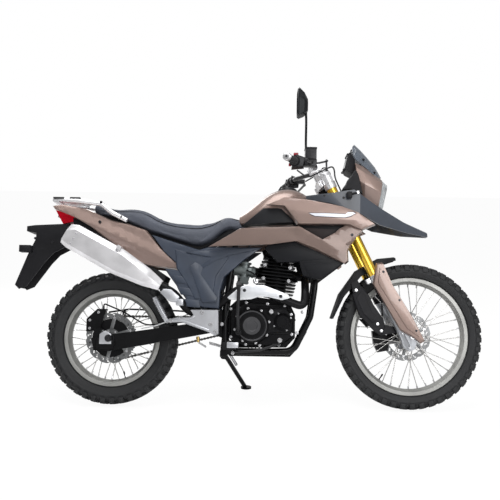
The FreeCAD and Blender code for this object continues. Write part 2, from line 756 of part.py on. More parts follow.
def make_front_fender():
    """Arched guard over the front tyre, hung between the fork legs."""
    centre = FRONT_AXLE
    stations = []
    for degrees, half_width, inside, outside in (
        (168, 34, 380, 388), (150, 56, 372, 392), (130, 62, 374, 404), (112, 60, 374, 402),
        (100, 36, 376, 388),
    ):
        angle = math.radians(degrees)
        out = Vector(math.cos(angle), 0, math.sin(angle))
        side = Vector(0, half_width, 0)
        wall = 4
        corners = [
            centre + out * (inside - 8) - side, centre + out * (outside - 8) - side,
            centre + out * outside, centre + out * (outside - 8) + side,
            centre + out * (inside - 8) + side, centre + out * (inside - 8) + side * 0.93,
            centre + out * (outside - 8 - wall) + side * 0.93, centre + out * (outside - wall),
            centre + out * (outside - 8 - wall) - side * 0.93, centre + out * (inside - 8) - side * 0.93,
        ]
        stations.append(Part.makePolygon(corners + [corners[0]]))
    shell = loft(stations, ruled=True)
    brackets = []
    inner = dim.fork_spread - dim.fork_tube_radius - 2 - dim.running_gap
    for side in (-1, 1):
        seat = fork_point(dim.fork_offset, side * inner, dim.slider_top - 20)
        elbow = fork_point(dim.fork_offset, side * 64, dim.slider_top - 20)
        brackets.append(rod(seat, elbow, 8))
        brackets.append(hex_rod(elbow, fork_point(dim.fork_offset - 4, side * 60, dim.slider_top + 54), 6))
    plain("front_fender", fused([shell] + brackets))
    make_fender_skirts()


SKIRT_SIDE = 66
SKIRT_THICKNESS = 7


def make_fender_skirts():
    """Plates that close the space between the fender and each fork leg, with a pressed rib."""
    skirt = [
        (1141, 542), (1179, 588), (1222, 539), (1245, 492), (1290, 428), (1311, 356), (1283, 346),
        (1250, 364), (1174, 443),
    ]
    rib = [(1160, 528), (1182, 560), (1212, 524), (1232, 474), (1262, 418), (1240, 404), (1192, 450)]
    outside = SKIRT_SIDE + SKIRT_THICKNESS
    plate = bevelled(skirt, SKIRT_SIDE, outside, 5)
    plate = plate.fuse(bevelled(rib, SKIRT_SIDE + 3, outside + 3, 5)).removeSplitter()
    tab = plate_xz(
        [(1148, 546), (1182, 584), (1166, 611), (1138, 594)], -62 - dim.running_gap, -outside + 1,
    )
    leg = dim.fork_spread - dim.fork_slider_radius - dim.running_gap
    bracket = plate_xz(
        [(1284, 350), (1311, 356), (1364, 364), (1364, 388), (1298, 396)], -outside + 1, -leg,
    )
    caliper_room = box((1236, 1400), (0, 200), (200, 392))
    left = mirrored(plate.fuse(tab)).cut(caliper_room)
    plain("fender_skirts", Part.makeCompound([fused([plate, tab, bracket]), left]))


def make_front_caliper():
    """Two-piston caliper over the front disc, on the left leg."""
    inner = dim.front_disc_side - dim.disc_thickness / 2 - 14
    outer = dim.fork_spread - dim.fork_slider_radius - dim.running_gap
    outline = [(-168, 24), (-96, 24), (-84, -20), (-90, -70), (-140, -80), (-160, -40)]
    ear = [(-100, 22), (-58, 40), (-34, 4), (-44, -14), (-100, -30)]
    shape = plate_xz(outline, inner, outer - 8).fuse(plate_xz(ear, outer - 10, outer)).removeSplitter()
    slot = box(
        (-160, 0), (
            dim.front_disc_side - dim.disc_thickness / 2 - 2,
            dim.front_disc_side + dim.disc_thickness / 2 + 2,
        ), (-95, 90)
    )
    disc_room = rod(Vector(0, 0, 0), Vector(0, 200, 0), dim.disc_radius + 5)
    shape = shape.cut(slot.common(disc_room))
    shape.translate(FRONT_AXLE)
    plain("front_caliper", shape)


# Frame and engine


def spine_route():
    """Backbone from the steering head down to the seat."""
    return [fork_point(0, 0, dim.fork_top - 104), Vector(760, 0, 868), Vector(585, 0, 800)]


def make_frame():
    spread, thin = dim.cradle_spread, dim.frame_tube
    head_low = fork_point(0, 0, dim.fork_top - 224)
    head_high = fork_point(0, 0, dim.fork_top - 50)
    head = rod(head_low, head_high, 28)
    bore = rod(fork_point(0, 0, dim.fork_top - 300), fork_point(0, 0, dim.fork_top), STEM_RADIUS + 0.8)
    solids = [head]
    along = (head_high - head_low).normalize()
    spine = tube(spine_route(), dim.spine_radius, 160)
    solids.append(spine)
    low = dim.cradle_height
    for side in (-1, 1):
        y, wide = side * spread, side * dim.upright_spread
        cradle = tube(
            [
                head_low + along * 60, Vector(975, side * 50, 700), Vector(963, y, 560),
                Vector(945, y, 430),
                Vector(866, y, low + 4), Vector(760, y, low), Vector(dim.upright_ahead, wide, low),
                Vector(dim.upright_ahead, wide, 470), Vector(565, side * 84, 640),
                Vector(585, side * 26, 800),
            ],
            thin,
            60,
        )
        solids.append(cradle)
        plate = plate_xz(
            [(462, 350), (540, 320), (540, 462), (496, 448), (462, 400)], side * 80, side * 94.4,
        )
        solids.append(plate)
        corner = [(520, 242), (596, 250), (598, 270), (548, 322), (528, 334)]
        solids.append(plate_xz(corner, wide - 7, wide + 7))
        solids.append(turned_at((506, 430), side * 86, side * (dim.peg_plate_side - dim.running_gap), 7))
    solids.append(rod(Vector(PIVOT.x, -82, PIVOT.z), Vector(PIVOT.x, 82, PIVOT.z), 16))
    solids.append(stand_lug())
    solids.append(rod(Vector(585, -spread, 792), Vector(585, spread, 792), thin))
    cowl_back = Vector(1155.6, 0, 1044)
    solids.append(rod(fork_point(0, 0, 740), cowl_back, 12))
    frame = solids[0].multiFuse(solids[1:])
    plain("main_frame", frame.cut(bore).removeSplitter())


def make_subframe():
    solids = []
    for side in (-1, 1):
        upper = tube(
            [
                Vector(578, side * 84, 807), Vector(420, side * 84, 729), Vector(150, side * 80, 813),
                Vector(-180, side * 62, 893),
            ],
            10, 80,
        )
        lower = tube(
            [Vector(528, side * 88, 540), Vector(470, side * 88, 560), Vector(100, side * 82, 818)], 9,
            60,
        )
        solids += [upper, lower]
        for x, y, z in ((-120, 65, 877), (0, 72, 848)):
            solids.append(turned_at((x, z), side * y, side * (dim.tail_side - dim.running_gap), 6))
        for x, z in ((300, 765), (400, 609)):
            panel = dim.side_panel_side - SIDE_TUCK * (z - SIDE_DATUM) - dim.running_gap
            solids.append(turned_at((x, z), side * 84, side * panel, 6))
    solids.append(rod(Vector(150, -80, 812), Vector(150, 80, 812), 9))
    solids.append(rod(Vector(-170, -64, 890), Vector(-170, 64, 890), 9))
    gap = dim.running_gap
    hanger = [(-200 + gap, 848 + gap), (-140, 834.5 + gap), (-140, 884), (-200 + gap, 884)]
    solids.append(plate_xz(hanger, -50, 50))
    plain("subframe", fused(solids))


SPROCKET_SHAFT = (566, 388)
PORT_REACH = 104
PORT_HEIGHT = 112
EXHAUST_REACH = 104
ENGINE_FOOT = Vector(772, 0, 520)
ENGINE_TILT = 6


def turned_at(centre, y_from, y_to, radius):
    """A round boss that stands across the machine, centre given as (x, z)."""
    return rod(Vector(centre[0], y_from, centre[1]), Vector(centre[0], y_to, centre[1]), radius)


def round_cover(centre, y_from, side, radius, depth, bolts):
    """A turned cover with a sloped rim, a raised ring on its face and bolt bosses round its edge."""
    y_rim, y_face = y_from + side * (depth - 10), y_from + side * depth
    hub = Vector(centre[0], y_rim, centre[1])
    parts = [
        turned_at(centre, y_from, y_rim, radius),
        Part.makeCone(radius, radius - 14, 10, hub, Vector(0, side, 0)),
        turned_at(centre, y_face - side, y_face + side * 4, radius * 0.62).cut(
            turned_at(centre, y_face - side, y_face + side * 4, radius * 0.52)
        ),
    ]
    for index in range(bolts):
        angle = 2 * math.pi * (index + 0.3) / bolts
        spot = (centre[0] + (radius + 2) * math.cos(angle), centre[1] + (radius + 2) * math.sin(angle))
        parts.append(turned_at(spot, y_from, y_rim - side * 2, 8))
    return fused(parts)


KICK_SHAFT = (606, 352)
KICK_SIDE = 132


def make_right_cover(right):
    """Clutch and water pump covers on one case, kick shaft boss, filler cap and cooling ribs below."""
    outline = [
        (566, 320), (566, 460), (640, 496), (820, 486), (864, 430), (858, 330), (800, 290), (620, 288),
    ]
    parts = [
        bevelled(outline, -right, -right + 22, 7),
        round_cover((668, 384), right, -1, 80, 44, 8),
        round_cover((812, 404), right, -1, 42, 32, 4),
        turned_at(KICK_SHAFT, right, -KICK_SIDE, 16),
        turned_at((758, 452), right, right - 34, 15),
        turned_at((758, 452), right - 34, right - 40, 11),
    ]
    for index in range(7):
        x = 650 + index * 17
        parts.append(box((x, x + 6), (right - 20, right), (280, 306)))
    for low, high in (((700, 300), (760, 348)), ((760, 348), (846, 352)), ((690, 470), (830, 470))):
        start, end = Vector(low[0], right - 22, low[1]), Vector(high[0], right - 22, high[1])
        parts.append(rod(start, end, 5))
    return fused(parts)


def make_left_cover(left):
    """Flywheel cover and the front sprocket's cover on one case."""
    outline = [(616, 300), (616, 476), (840, 480), (864, 400), (850, 310)]
    chain_side = [(560, 340), (560, 420), (600, 452), (760, 470), (760, 320), (600, 322)]
    right_hand = fused([
        bevelled(outline, left, left + 22, 7),
        bevelled(chain_side, left + 21, left + 36, 7),
        round_cover((800, 396), -left, -1, 74, 58, 7),
    ])
    return mirrored(right_hand)


def make_engine():
    right, left = -dim.engine_right, dim.engine_left
    case = [
        (558, 330), (558, 470), (600, 510), (690, 520), (842, 500), (872, 440), (872, 330), (830, 284),
        (600, 280),
    ]
    crankcase = plate_xz(case, right, left)
    crankcase = crankcase.fuse(turned_at(SPROCKET_SHAFT, left - 1, dim.sprocket_side + 8, 12))
    teeth = dim.front_sprocket_radius - dim.chain_height / 2 - 1.5
    crankcase = crankcase.fuse(
        turned_at(SPROCKET_SHAFT, dim.sprocket_side - 3.5, dim.sprocket_side + 3.5, teeth),
    )
    plain("engine_crankcase", crankcase)

    plain("engine_covers", Part.makeCompound([make_right_cover(right), make_left_cover(left)]))

    tilt = Placement(ENGINE_FOOT, Rotation(Vector(0, 1, 0), ENGINE_TILT))
    fins = [rod(Vector(0, 0, -24), Vector(0, 0, 190), 52)]
    count = round(dim.fin_count)
    for index in range(count):
        height = 4 + index * dim.fin_pitch
        grow = 0.78 + 0.22 * math.sin(math.pi * min(1.0, (index + 2) / count))
        long, wide = 96 * grow, 84 * grow
        fin = [
            (-long, -wide + 22), (-long + 22, -wide), (long - 22, -wide), (long, -wide + 22),
            (long, wide - 22), (long - 22, wide), (-long + 22, wide), (-long, wide - 22),
        ]
        face = polygon_face([Vector(x, y, height) for x, y in fin])
        fins.append(face.extrude(Vector(0, 0, dim.fin_thickness)))
    fins.append(rod(Vector(-PORT_REACH, 0, PORT_HEIGHT), Vector(0, 0, PORT_HEIGHT), 24))
    fins.append(rod(Vector(0, -30, PORT_HEIGHT), Vector(EXHAUST_REACH, -30, PORT_HEIGHT), 26))
    cover = corner_loft([
        [(-74, -50, 190), (70, -50, 190), (70, 50, 190), (-74, 50, 190)],
        [(-60, -42, 220), (56, -42, 220), (56, 42, 220), (-60, 42, 220)],
    ])
    for x in (-52, 48):
        fins.append(rod(Vector(x, 0, 200), Vector(x * 1.25, 0, 228), 22))
    fins.append(rod(Vector(10, -50, 150), Vector(16, -112, 178), 9))
    fins.append(rod(Vector(13, -84, 165), Vector(16, -112, 178), 13))
    top_end = fused(fins + [cover])
    top_end = top_end.common(box((-200, 200), (-200, 200), (-2, 400)))
    plain("engine_top_end", top_end, tilt)

    mouth = -PORT_REACH - dim.running_gap
    body = rod(Vector(mouth - 54, 0, PORT_HEIGHT - 62), Vector(mouth - 54, 0, PORT_HEIGHT + 42), 24)
    throat = rod(Vector(mouth - 108, 0, PORT_HEIGHT), Vector(mouth, 0, PORT_HEIGHT), 26)
    bowl = corner_loft([
        [
            (mouth - 84, -30, PORT_HEIGHT - 30), (mouth - 26, -30, PORT_HEIGHT - 30),
            (mouth - 26, 30, PORT_HEIGHT - 30), (mouth - 84, 30, PORT_HEIGHT - 30),
        ],
        [
            (mouth - 78, -24, PORT_HEIGHT - 62), (mouth - 32, -24, PORT_HEIGHT - 62),
            (mouth - 32, 24, PORT_HEIGHT - 62), (mouth - 78, 24, PORT_HEIGHT - 62),
        ],
    ])
    lid = rod(Vector(mouth - 54, 0, PORT_HEIGHT + 34), Vector(mouth - 54, 0, PORT_HEIGHT + 42), 30)
    clamp = rod(Vector(mouth - 18, 0, PORT_HEIGHT), Vector(mouth - 8, 0, PORT_HEIGHT), 29)
    plain("carburettor", fused([body, throat, bowl, lid, clamp]), tilt)


def make_exhaust():
    inlet, tail = Vector(246, -dim.muffler_side, 560), Vector(-196, -dim.muffler_side, 797)
    along = (tail - inlet).normalize()
    tilt = math.radians(ENGINE_TILT)
    reach = EXHAUST_REACH + dim.running_gap
    port = ENGINE_FOOT + Vector(
        reach * math.cos(
            tilt,
        ) + PORT_HEIGHT * math.sin(tilt), -30, PORT_HEIGHT * math.cos(tilt) - reach * math.sin(tilt)
    )
    outwards = Vector(math.cos(tilt), 0, -math.sin(tilt))
    route = [
        port, port + outwards * 32, Vector(917, -108, 545), Vector(912, -128, 474),
        Vector(820, -138, 504), Vector(690, -140, 552), Vector(600, -138, 552), Vector(510, -123, 478),
        Vector(440, -124, 430), Vector(372, -132, 446), inlet - along * 70, inlet - along * dim.running_gap,
    ]
    clamp = rod(inlet - along * 30, inlet - along * 8, dim.header_radius + 5)
    plain("exhaust_header", tube(route, dim.header_radius, 60).fuse(clamp))

    up = Vector(0, 1, 0).cross(along).normalize()
    if up.z < 0:
        up = up * -1
    stations = []
    for share, half_width, low, high in (
        (0.0, 24, -24, 24), (0.16, 40, -44, 40), (0.45, 45, -62, 52), (0.93, 45, -60, 50),
        (1.0, 40, -52, 36),
    ):
        centre = inlet + (tail - inlet) * share
        side = Vector(0, half_width, 0)
        corners = [
            centre + up * low - side * 0.5, centre + up * (low + 18) - side,
            centre + up * (high - 26) - side,
            centre + up * high - side * 0.35, centre + up * high + side * 0.35,
            centre + up * (high - 26) + side,
            centre + up * (low + 18) + side, centre + up * low + side * 0.5,
        ]
        stations.append(Part.makePolygon(corners + [corners[0]]))
    outlet = rod(tail - along * 60, tail + along * 10, 17)
    strap_at = inlet + (tail - inlet) * 0.5
    strap = box((-9, 9), (-dim.muffler_half_width + 4, dim.muffler_half_width + 3), (30, 58))
    strap.Placement = Placement(
        strap_at, Rotation(Vector(0, 1, 0), math.degrees(math.atan2(tail.z - inlet.z, inlet.x - tail.x))),
    )
    plain("muffler", loft(stations, ruled=True).cut(outlet).fuse(strap))

    shield = [
        (552, 524), (560, 556), (606, 580), (655, 582), (760, 560), (842, 528), (836, 506), (800, 500),
        (712, 526),
        (640, 546), (600, 540), (574, 512),
    ]
    guard = bevelled(shield, 166, 175, 5)
    seat = dim.header_radius + dim.running_gap
    header_at = ((622, 138.6, 552), (690, 140, 552))
    posts = [rod(Vector(x, -y - seat, z), Vector(x, -168, z), 7) for x, y, z in header_at]
    plain("heat_shield", fused([guard] + posts))


# Bodywork


def make_tank():
    stations = [
        (600, 78, 856, 912), (660, 112, 850, 956), (740, 140, 848, 1018), (810, 148, 850, 1044),
        (880, 146, 860, 1036),
        (940, 120, 880, 1000), (985, 84, 905, 962),
    ]
    wires = [section(x, half * dim.tank_half_width / 148, low, high, 2.8) for x, half, low, high in stations]
    tank = loft(wires)
    route = spine_route()
    tunnel = tube(route, dim.spine_radius + 8, 160)
    floor = box((580, 1000), (-dim.spine_radius - 8, dim.spine_radius + 8), (700, 868))
    tank = tank.cut(tunnel.fuse(floor))
    plain("fuel_tank", tank)
    plain("tank_cap", rod(Vector(836, 0, 1030), Vector(838, 0, 1060), 40).cut(tank))
    return tank


SIDE_TUCK = 0.12
SIDE_DATUM = 500
WING = [
    (871, 856), (1118, 857), (1175, 833), (1240, 860), (1163, 915), (1089, 944), (1020, 962), (907, 978),
    (800, 985), (722, 948), (802, 943),
]
BAND = [
    (457, 748), (603, 837), (878, 853), (997, 790), (1085, 841), (1183, 834), (1153, 804), (1127, 765),
    (1112, 735), (1115, 688), (1100, 675), (953, 741), (861, 780), (746, 762),
]
LOWER = [
    (721, 748), (779, 680), (883, 682), (903, 616), (951, 604), (992, 602), (1101, 686), (953, 752),
    (861, 790), (746, 770),
]
SIDE = [
    (187, 806), (414, 735), (454, 748), (712, 752), (632, 695), (538, 607), (520, 540), (515, 459),
    (383, 470), (337, 532), (253, 644), (351, 630), (246, 727),
]
KNEE = [(609, 851), (706, 941), (789, 945), (810, 938), (872, 868)]
RECESS = [(850, 876), (1120, 868), (1086, 790), (990, 756), (880, 800)]
SIDE_RELIEF = [
    (300, 738), (414, 704), (560, 706), (500, 610), (486, 500), (400, 500), (366, 560), (310, 648),
]
TAIL = [
    (-292, 938), (-244, 945), (-126, 925), (-7, 873), (66, 859), (161, 827), (239, 735), (345, 638),
    (188, 655), (145, 666), (95, 694), (-53, 799), (-106, 840), (-188, 886), (-280, 921),
]


def make_shrouds(tank):
    thick = dim.panel_thickness
    wing = bevelled(WING, dim.wing_side - 20, dim.wing_side + thick + 8, 9)
    band = bevelled(BAND, dim.band_side - 6, dim.band_side + thick + 6, 8)
    band = band.cut(plate_xz(WING, -dim.wing_side + 19, -dim.wing_side - 60))
    boss = turned_at((890, 930), -100, -dim.wing_side + 18, 9).cut(tank)
    boss.translate(Vector(0, -dim.running_gap, 0))
    plain("upper_shrouds", both_sides(wing.fuse(boss)))
    plain("lower_shrouds", both_sides(band))
    under_band = dim.band_side - 6 - dim.running_gap
    lower = bevelled(LOWER, under_band - thick - 3, under_band, 6)
    knee = bevelled(KNEE, under_band - 52, under_band, 12).cut(tank)
    knee.translate(Vector(0, -dim.running_gap, 0))
    yoke = dim.fork_top - YOKE_DROP
    turning = swept(yoke - YOKE_THICK / 2, yoke + YOKE_THICK / 2, FORK_REACH + CLAMP_WALL)
    recess = bevelled(RECESS, under_band - 18, under_band - 8, 5).cut(tank).cut(turning)
    inner = Part.makeCompound([fused([lower, recess]), knee])
    plain("lower_panels", Part.makeCompound([inner, mirrored(inner).cut(tank)]))
    side = bevelled(SIDE, dim.side_panel_side, dim.side_panel_side + thick, 6, SIDE_TUCK, SIDE_DATUM)
    relief_at = dim.side_panel_side + thick - 2
    relief = bevelled(SIDE_RELIEF, relief_at, relief_at + 6, 7, SIDE_TUCK, SIDE_DATUM)
    plain("side_panels", both_sides(side.fuse(relief).removeSplitter()))
    tail = bevelled(TAIL, dim.tail_side, dim.tail_side + thick + 8, 8)
    plain("tail_panels", both_sides(tail))


def shield_station(front, side, half_width, wall):
    """A thin U-shaped station across the machine: front and side are (x, z), the side lying further back."""
    outer = []
    for across, share in (
        (-1, 1.0), (-0.84, 0.52), (-0.45, 0.12), (0, 0.0), (0.45, 0.12), (0.84, 0.52), (1, 1.0),
    ):
        outer.append(
            (
                front[0] + (side[0] - front[0]) * share, across * half_width,
                front[1] + (side[1] - front[1]) * share,
            ),
        )
    length = math.hypot(side[0] - front[0], side[1] - front[1])
    back = (wall * (side[0] - front[0]) / length, wall * (side[1] - front[1]) / length)
    inner = [(x + back[0], y * (1 - wall / half_width), z + back[1]) for x, y, z in reversed(outer)]
    return outer + inner


def make_front_bodywork():
    beak = corner_loft([
        [(1168, -150, 1012), (1168, 0, 1019), (1168, 150, 1012), (1168, 160, 916), (1168, -160, 916)],
        [(1262, -112, 955), (1262, 0, 962), (1262, 112, 955), (1262, 130, 868), (1262, -130, 868)],
        [(1400, -62, 884), (1400, 0, 900), (1400, 62, 884), (1400, 76, 838), (1400, -76, 838)],
        [(1512, -16, 843), (1512, 0, 850), (1512, 16, 843), (1512, 22, 826), (1512, -22, 826)],
    ])
    hollow = corner_loft([
        [(1160, -142, 1000), (1160, 142, 1000), (1160, 152, 880), (1160, -152, 880)],
        [(1262, -104, 945), (1262, 104, 945), (1262, 122, 860), (1262, -122, 860)],
        [(1400, -54, 873), (1400, 54, 873), (1400, 68, 830), (1400, -68, 830)],
        [(1498, -10, 836), (1498, 10, 836), (1498, 14, 818), (1498, -14, 818)],
    ])
    arm = [
        (914, 996), (1030, 1012), (1139, 1030), (1168, 1012), (1168, 916), (1089, 947), (1020, 965),
        (912, 981),
    ]
    arms = both_sides(plate_xz(arm, -150, -159))
    plain("front_beak", beak.cut(hollow).fuse(arms))

    cowl = corner_loft([
        leaned_station((1162, 1030), (1156, 1180), [(70, 0), (94, 0.42), (92, 0.8), (60, 1)]),
        leaned_station((1200, 1006), (1198, 1158), [(76, 0), (102, 0.4), (94, 0.78), (64, 1)]),
        leaned_station((1268, 964), (1288, 1096), [(62, 0), (88, 0.5), (80, 0.85), (50, 1)]),
    ])
    plain("headlight_cowl", cowl)
    gap = dim.running_gap
    vent = [(1092, 1036), (1112, 1082), (1154, 1140), (1168, 1108), (1188, 1016), (1136, 1036)]
    back = bevelled(vent, 94 + 8, 94 + 18, 6)
    back = back.cut(swept(dim.slider_top, dim.fork_top, FORK_REACH))
    stay = box((1132, 1160), (-108, -52), (1060, 1072))
    vents = both_sides(fused([back, stay]))
    lens = corner_loft([
        leaned_station((1269 + gap, 968), (1289 + gap, 1092), [(56, 0), (74, 0.85), (48, 1)]),
        leaned_station((1292, 958), (1314, 1072), [(46, 0), (60, 0.85), (40, 1)]),
    ])
    plain("headlight", lens)
    screen = corner_loft([
        shield_station((1289, 1115), (1262, 1104), 60, 4),
        shield_station((1262, 1166), (1212, 1150), 68, 4),
        shield_station((1222, 1218), (1164, 1192), 64, 4),
        shield_station((1190, 1254), (1148, 1222), 52, 4),
        shield_station((1158, 1282), (1144, 1264), 34, 4),
    ])
    plain("windscreen", screen.cut(cowl))
    pod = corner_loft([
        [(1106, -50, 1150), (1106, 50, 1150), (1122, 50, 1226), (1122, -50, 1226)],
        [(1116, -66, 1140), (1116, 66, 1140), (1132, 62, 1232), (1132, -62, 1232)],
        [(1155.4, -56, 1118), (1155.4, 56, 1118), (1155.4, 50, 1200), (1155.4, -50, 1200)],
    ])
    plain("instruments", fused([pod, vents]))


def make_seat(tank):
    stations = [
        (632, 66, 862, 920), (560, 86, 848, 893), (478, 104, 790, 866), (410, 112, 754, 850),
        (331, 116, 766, 858),
        (223, 118, 800, 884), (164, 118, 818, 914), (60, 108, 862, 931), (-40, 96, 890, 942),
        (-104, 78, 912, 950),
    ]
    wires = [section(x, half * dim.seat_half_width / 118, low, high, 3.4) for x, half, low, high in stations]
    plain("seat", loft(wires).cut(tank))


def make_tail():
    rail = [
        Vector(65, -120, 872), Vector(-6, -118, 908), Vector(-60, -110, 950), Vector(-150, -106, 962),
        Vector(-296, -84, 974), Vector(-296, 84, 974), Vector(-150, 106, 962), Vector(-60, 110, 950),
        Vector(-6, 118, 908), Vector(65, 120, 872),
    ]
    hoop = tube(rail, 9, 34)
    deck = box((-290, -150), (-62, 62), (966, 976))
    ties = [rod(Vector(x, -96, 968), Vector(x, 96, 968), 6) for x in (-270, -168)]
    rack = fused([hoop, deck] + ties)
    spread = dim.rack_hole_circle / 2 * math.sqrt(0.5)
    for x in (-220 - spread, -220 + spread):
        for y in (-spread, spread):
            rack = rack.cut(rod(Vector(x, y, 940), Vector(x, y, 990), dim.rack_hole_radius))
    plain("grab_rack", rack)

    lamp = corner_loft([
        [(-291, -60, 926), (-291, 60, 926), (-254, 54, 860), (-254, -54, 860)],
        [(-200, -60, 902), (-200, 60, 902), (-200, 54, 872), (-200, -54, 872)],
    ])
    plain("tail_light", lamp)

    outline = [
        (-245, 858), (-385, 850), (-424, 844), (-424, 820), (-378, 812), (-379, 783), (-412, 713),
        (-470, 561),
        (-450, 541), (-412, 557), (-330, 672), (-290, 716), (-250, 738), (-150, 790), (-120, 830),
    ]
    inside = [
        (-250, 850), (-380, 838), (-372, 806), (-371, 783), (-404, 711), (-462, 562), (-446, 520),
        (-300, 640), (-100, 740),
    ]
    under = [(-262, 842), (-240, 842), (-240, 700), (-262, 700)]
    shell = plate_xz(outline, -66, 66).cut(plate_xz(inside, -61, 61)).cut(plate_xz(under, -61, 61))
    shell = shell.fuse(corner_loft([
        [(-250, -50, 857), (-250, 50, 857), (-250, 50, 845), (-250, -50, 845)],
        [(-392, -34, 852), (-392, 34, 852), (-392, 34, 840), (-392, -34, 840)],
    ]))
    indicators = []
    for side in (-1, 1):
        indicators.append(rod(Vector(-396, side * 64, 730), Vector(-404, side * 112, 728), 6))
        indicators.append(box((-432, -380), sorted((side * 100, side * 150)), (712, 744)))
    plain("rear_fender", fused([shell] + indicators))


def make_swingarm():
    axle, pivot = REAR_AXLE, PIVOT
    high, wide = dim.arm_height / 2, dim.arm_width / 2
    solids = []
    for side in (-1, 1):
        outline = [
            (-82, axle.z - 2), (-70, axle.z - 58), (4, axle.z - 60), (pivot.x - 20, pivot.z - high),
            (pivot.x + 22, pivot.z - 18),
            (pivot.x + 22, pivot.z + 18), (pivot.x - 20, pivot.z + high), (4, axle.z + 16),
        ]
        y = side * dim.arm_spread
        solids.append(plate_xz(outline, y - wide, y + wide))
    solids.append(box((338, 372), (-dim.arm_spread, dim.arm_spread), (336, 378)))
    arm = fused(solids)
    bolt = rod(
        Vector(0, -dim.arm_spread - 26, axle.z), Vector(0, dim.arm_spread + 26, axle.z), dim.axle_radius,
    )
    arm = arm.fuse(bolt)
    pin = rod(
        Vector(pivot.x, -dim.arm_spread - 20, pivot.z), Vector(pivot.x, dim.arm_spread + 20, pivot.z),
        20.3,
    )
    guard = [(-40, 444), (60, 460), (300, 456), (452, 446), (452, 438), (300, 448), (60, 452), (-40, 436)]
    y = dim.sprocket_side
    arm = arm.fuse(plate_xz(guard, y - 7, y + 20))
    for x, low, high in ((24, axle.z + 10, 456), (430, 392, 448)):
        arm = arm.fuse(box((x, x + 16), (y + 16, dim.arm_spread - 6), (low, high)))
    plain("swingarm", arm.cut(pin.common(box((0, 900), (-92, 92), (0, 900)))))

    face = dim.arm_spread + wide + dim.running_gap
    block = [(-60, 262), (-64, 296), (-46, 326), (-20, 330), (14, 322), (34, 292), (20, 262)]
    nut = turned_at((0, axle.z), -face - 4, -face - 15, 17)
    washer = fused([bevelled(block, face, face + 7, 4), nut])
    plain("axle_plates", both_sides(washer.cut(bolt)))

    top, foot = Vector(470, 0, 740), Vector(392, 0, 420)
    body = rod(foot, top, 16)
    coil = []
    along = (top - foot).normalize()
    for index in range(9):
        start = foot + along * (70 + index * 24)
        coil.append(rod(start, start + along * 9, 34))
    plain("rear_shock", fused([body] + coil))


def make_chain():
    """Closed loop of links round both sprockets, each link a plate-sided block."""
    rear = REAR_AXLE
    front = Vector(SPROCKET_SHAFT[0], 0, SPROCKET_SHAFT[1])
    y = dim.sprocket_side
    big = dim.sprocket_radius - dim.chain_height / 2 + dim.running_gap
    small = dim.front_sprocket_radius
    gap = front - rear
    distance = math.hypot(gap.x, gap.z)
    heading = math.atan2(gap.z, gap.x)
    spread = math.asin((big - small) / distance)
    run = math.sqrt(distance ** 2 - (big - small) ** 2)
    big_arc = big * (math.pi + 2 * spread)
    small_arc = small * (math.pi - 2 * spread)
    length = 2 * run + big_arc + small_arc
    count = round(length / dim.chain_pitch / 2) * 2

    def at(travel):
        """Point and heading on the loop, from the rear sprocket's top tangent."""
        travel %= length
        upper = heading + math.pi / 2 - spread
        if travel < run:
            start = Vector(rear.x + big * math.cos(upper), 0, rear.z + big * math.sin(upper))
            way = heading - spread
            return start + Vector(math.cos(way), 0, math.sin(way)) * travel, way
        travel -= run
        if travel < small_arc:
            angle = upper - travel / small
            return front + Vector(math.cos(angle), 0, math.sin(angle)) * small, angle - math.pi / 2
        travel -= small_arc
        lower = heading - math.pi / 2 + spread
        if travel < run:
            start = Vector(front.x + small * math.cos(lower), 0, front.z + small * math.sin(lower))
            way = heading + math.pi + spread
            return start + Vector(math.cos(way), 0, math.sin(way)) * travel, way
        travel -= run
        angle = lower - travel / big
        return rear + Vector(math.cos(angle), 0, math.sin(angle)) * big, angle - math.pi / 2

    links = []
    step = length / count
    for index in range(count):
        wide = dim.chain_width / 2 if index % 2 else dim.chain_width / 2 - 3
        start, _ = at(index * step)
        end, _ = at((index + 1) * step)
        along = (end - start).normalize()
        up = Vector(-along.z, 0, along.x) * (dim.chain_height / 2)
        corners = [start - up, end - up, end + up, start + up]
        face = polygon_face([corner + Vector(0, y - wide, 0) for corner in corners])
        links.append(face.extrude(Vector(0, 2 * wide, 0)))
    plain("drive_chain", Part.makeCompound(links))


def make_rear_caliper():
    inner, outer = dim.rear_disc_side - 18, dim.rear_disc_side + 20
    outline = [(-116, 344), (-116, 404), (-66, 452), (-22, 452), (-40, 400), (-52, 352)]
    bracket = [(-74, 362), (-40, 362), (-40, 322.1), (-74, 315)]
    shape = plate_xz(outline, -inner, -outer).fuse(plate_xz(bracket, -outer + 4, -dim.arm_spread))
    slot = box((-130, 10), (-dim.rear_disc_side - 4, -dim.rear_disc_side + 4), (300, 470))
    shape = shape.cut(slot.common(rod(REAR_AXLE, REAR_AXLE + Vector(0, -200, 0), dim.disc_radius + 5)))
    face = -94.4 - dim.running_gap
    route = [
        Vector(-37, -72, 452 + dim.running_gap), Vector(-37, -80, 478), Vector(60, -100, 440),
        Vector(170, -112, 378),
        Vector(300, -108, 390), Vector(400, -99, 403), Vector(478, -100, 410),
    ]
    banjo = rod(Vector(478, face, 410), Vector(478, face - 10, 410), 8)
    plain("rear_caliper", Part.makeCompound([shape, tube(route, 3.5, 80).fuse(banjo)]))


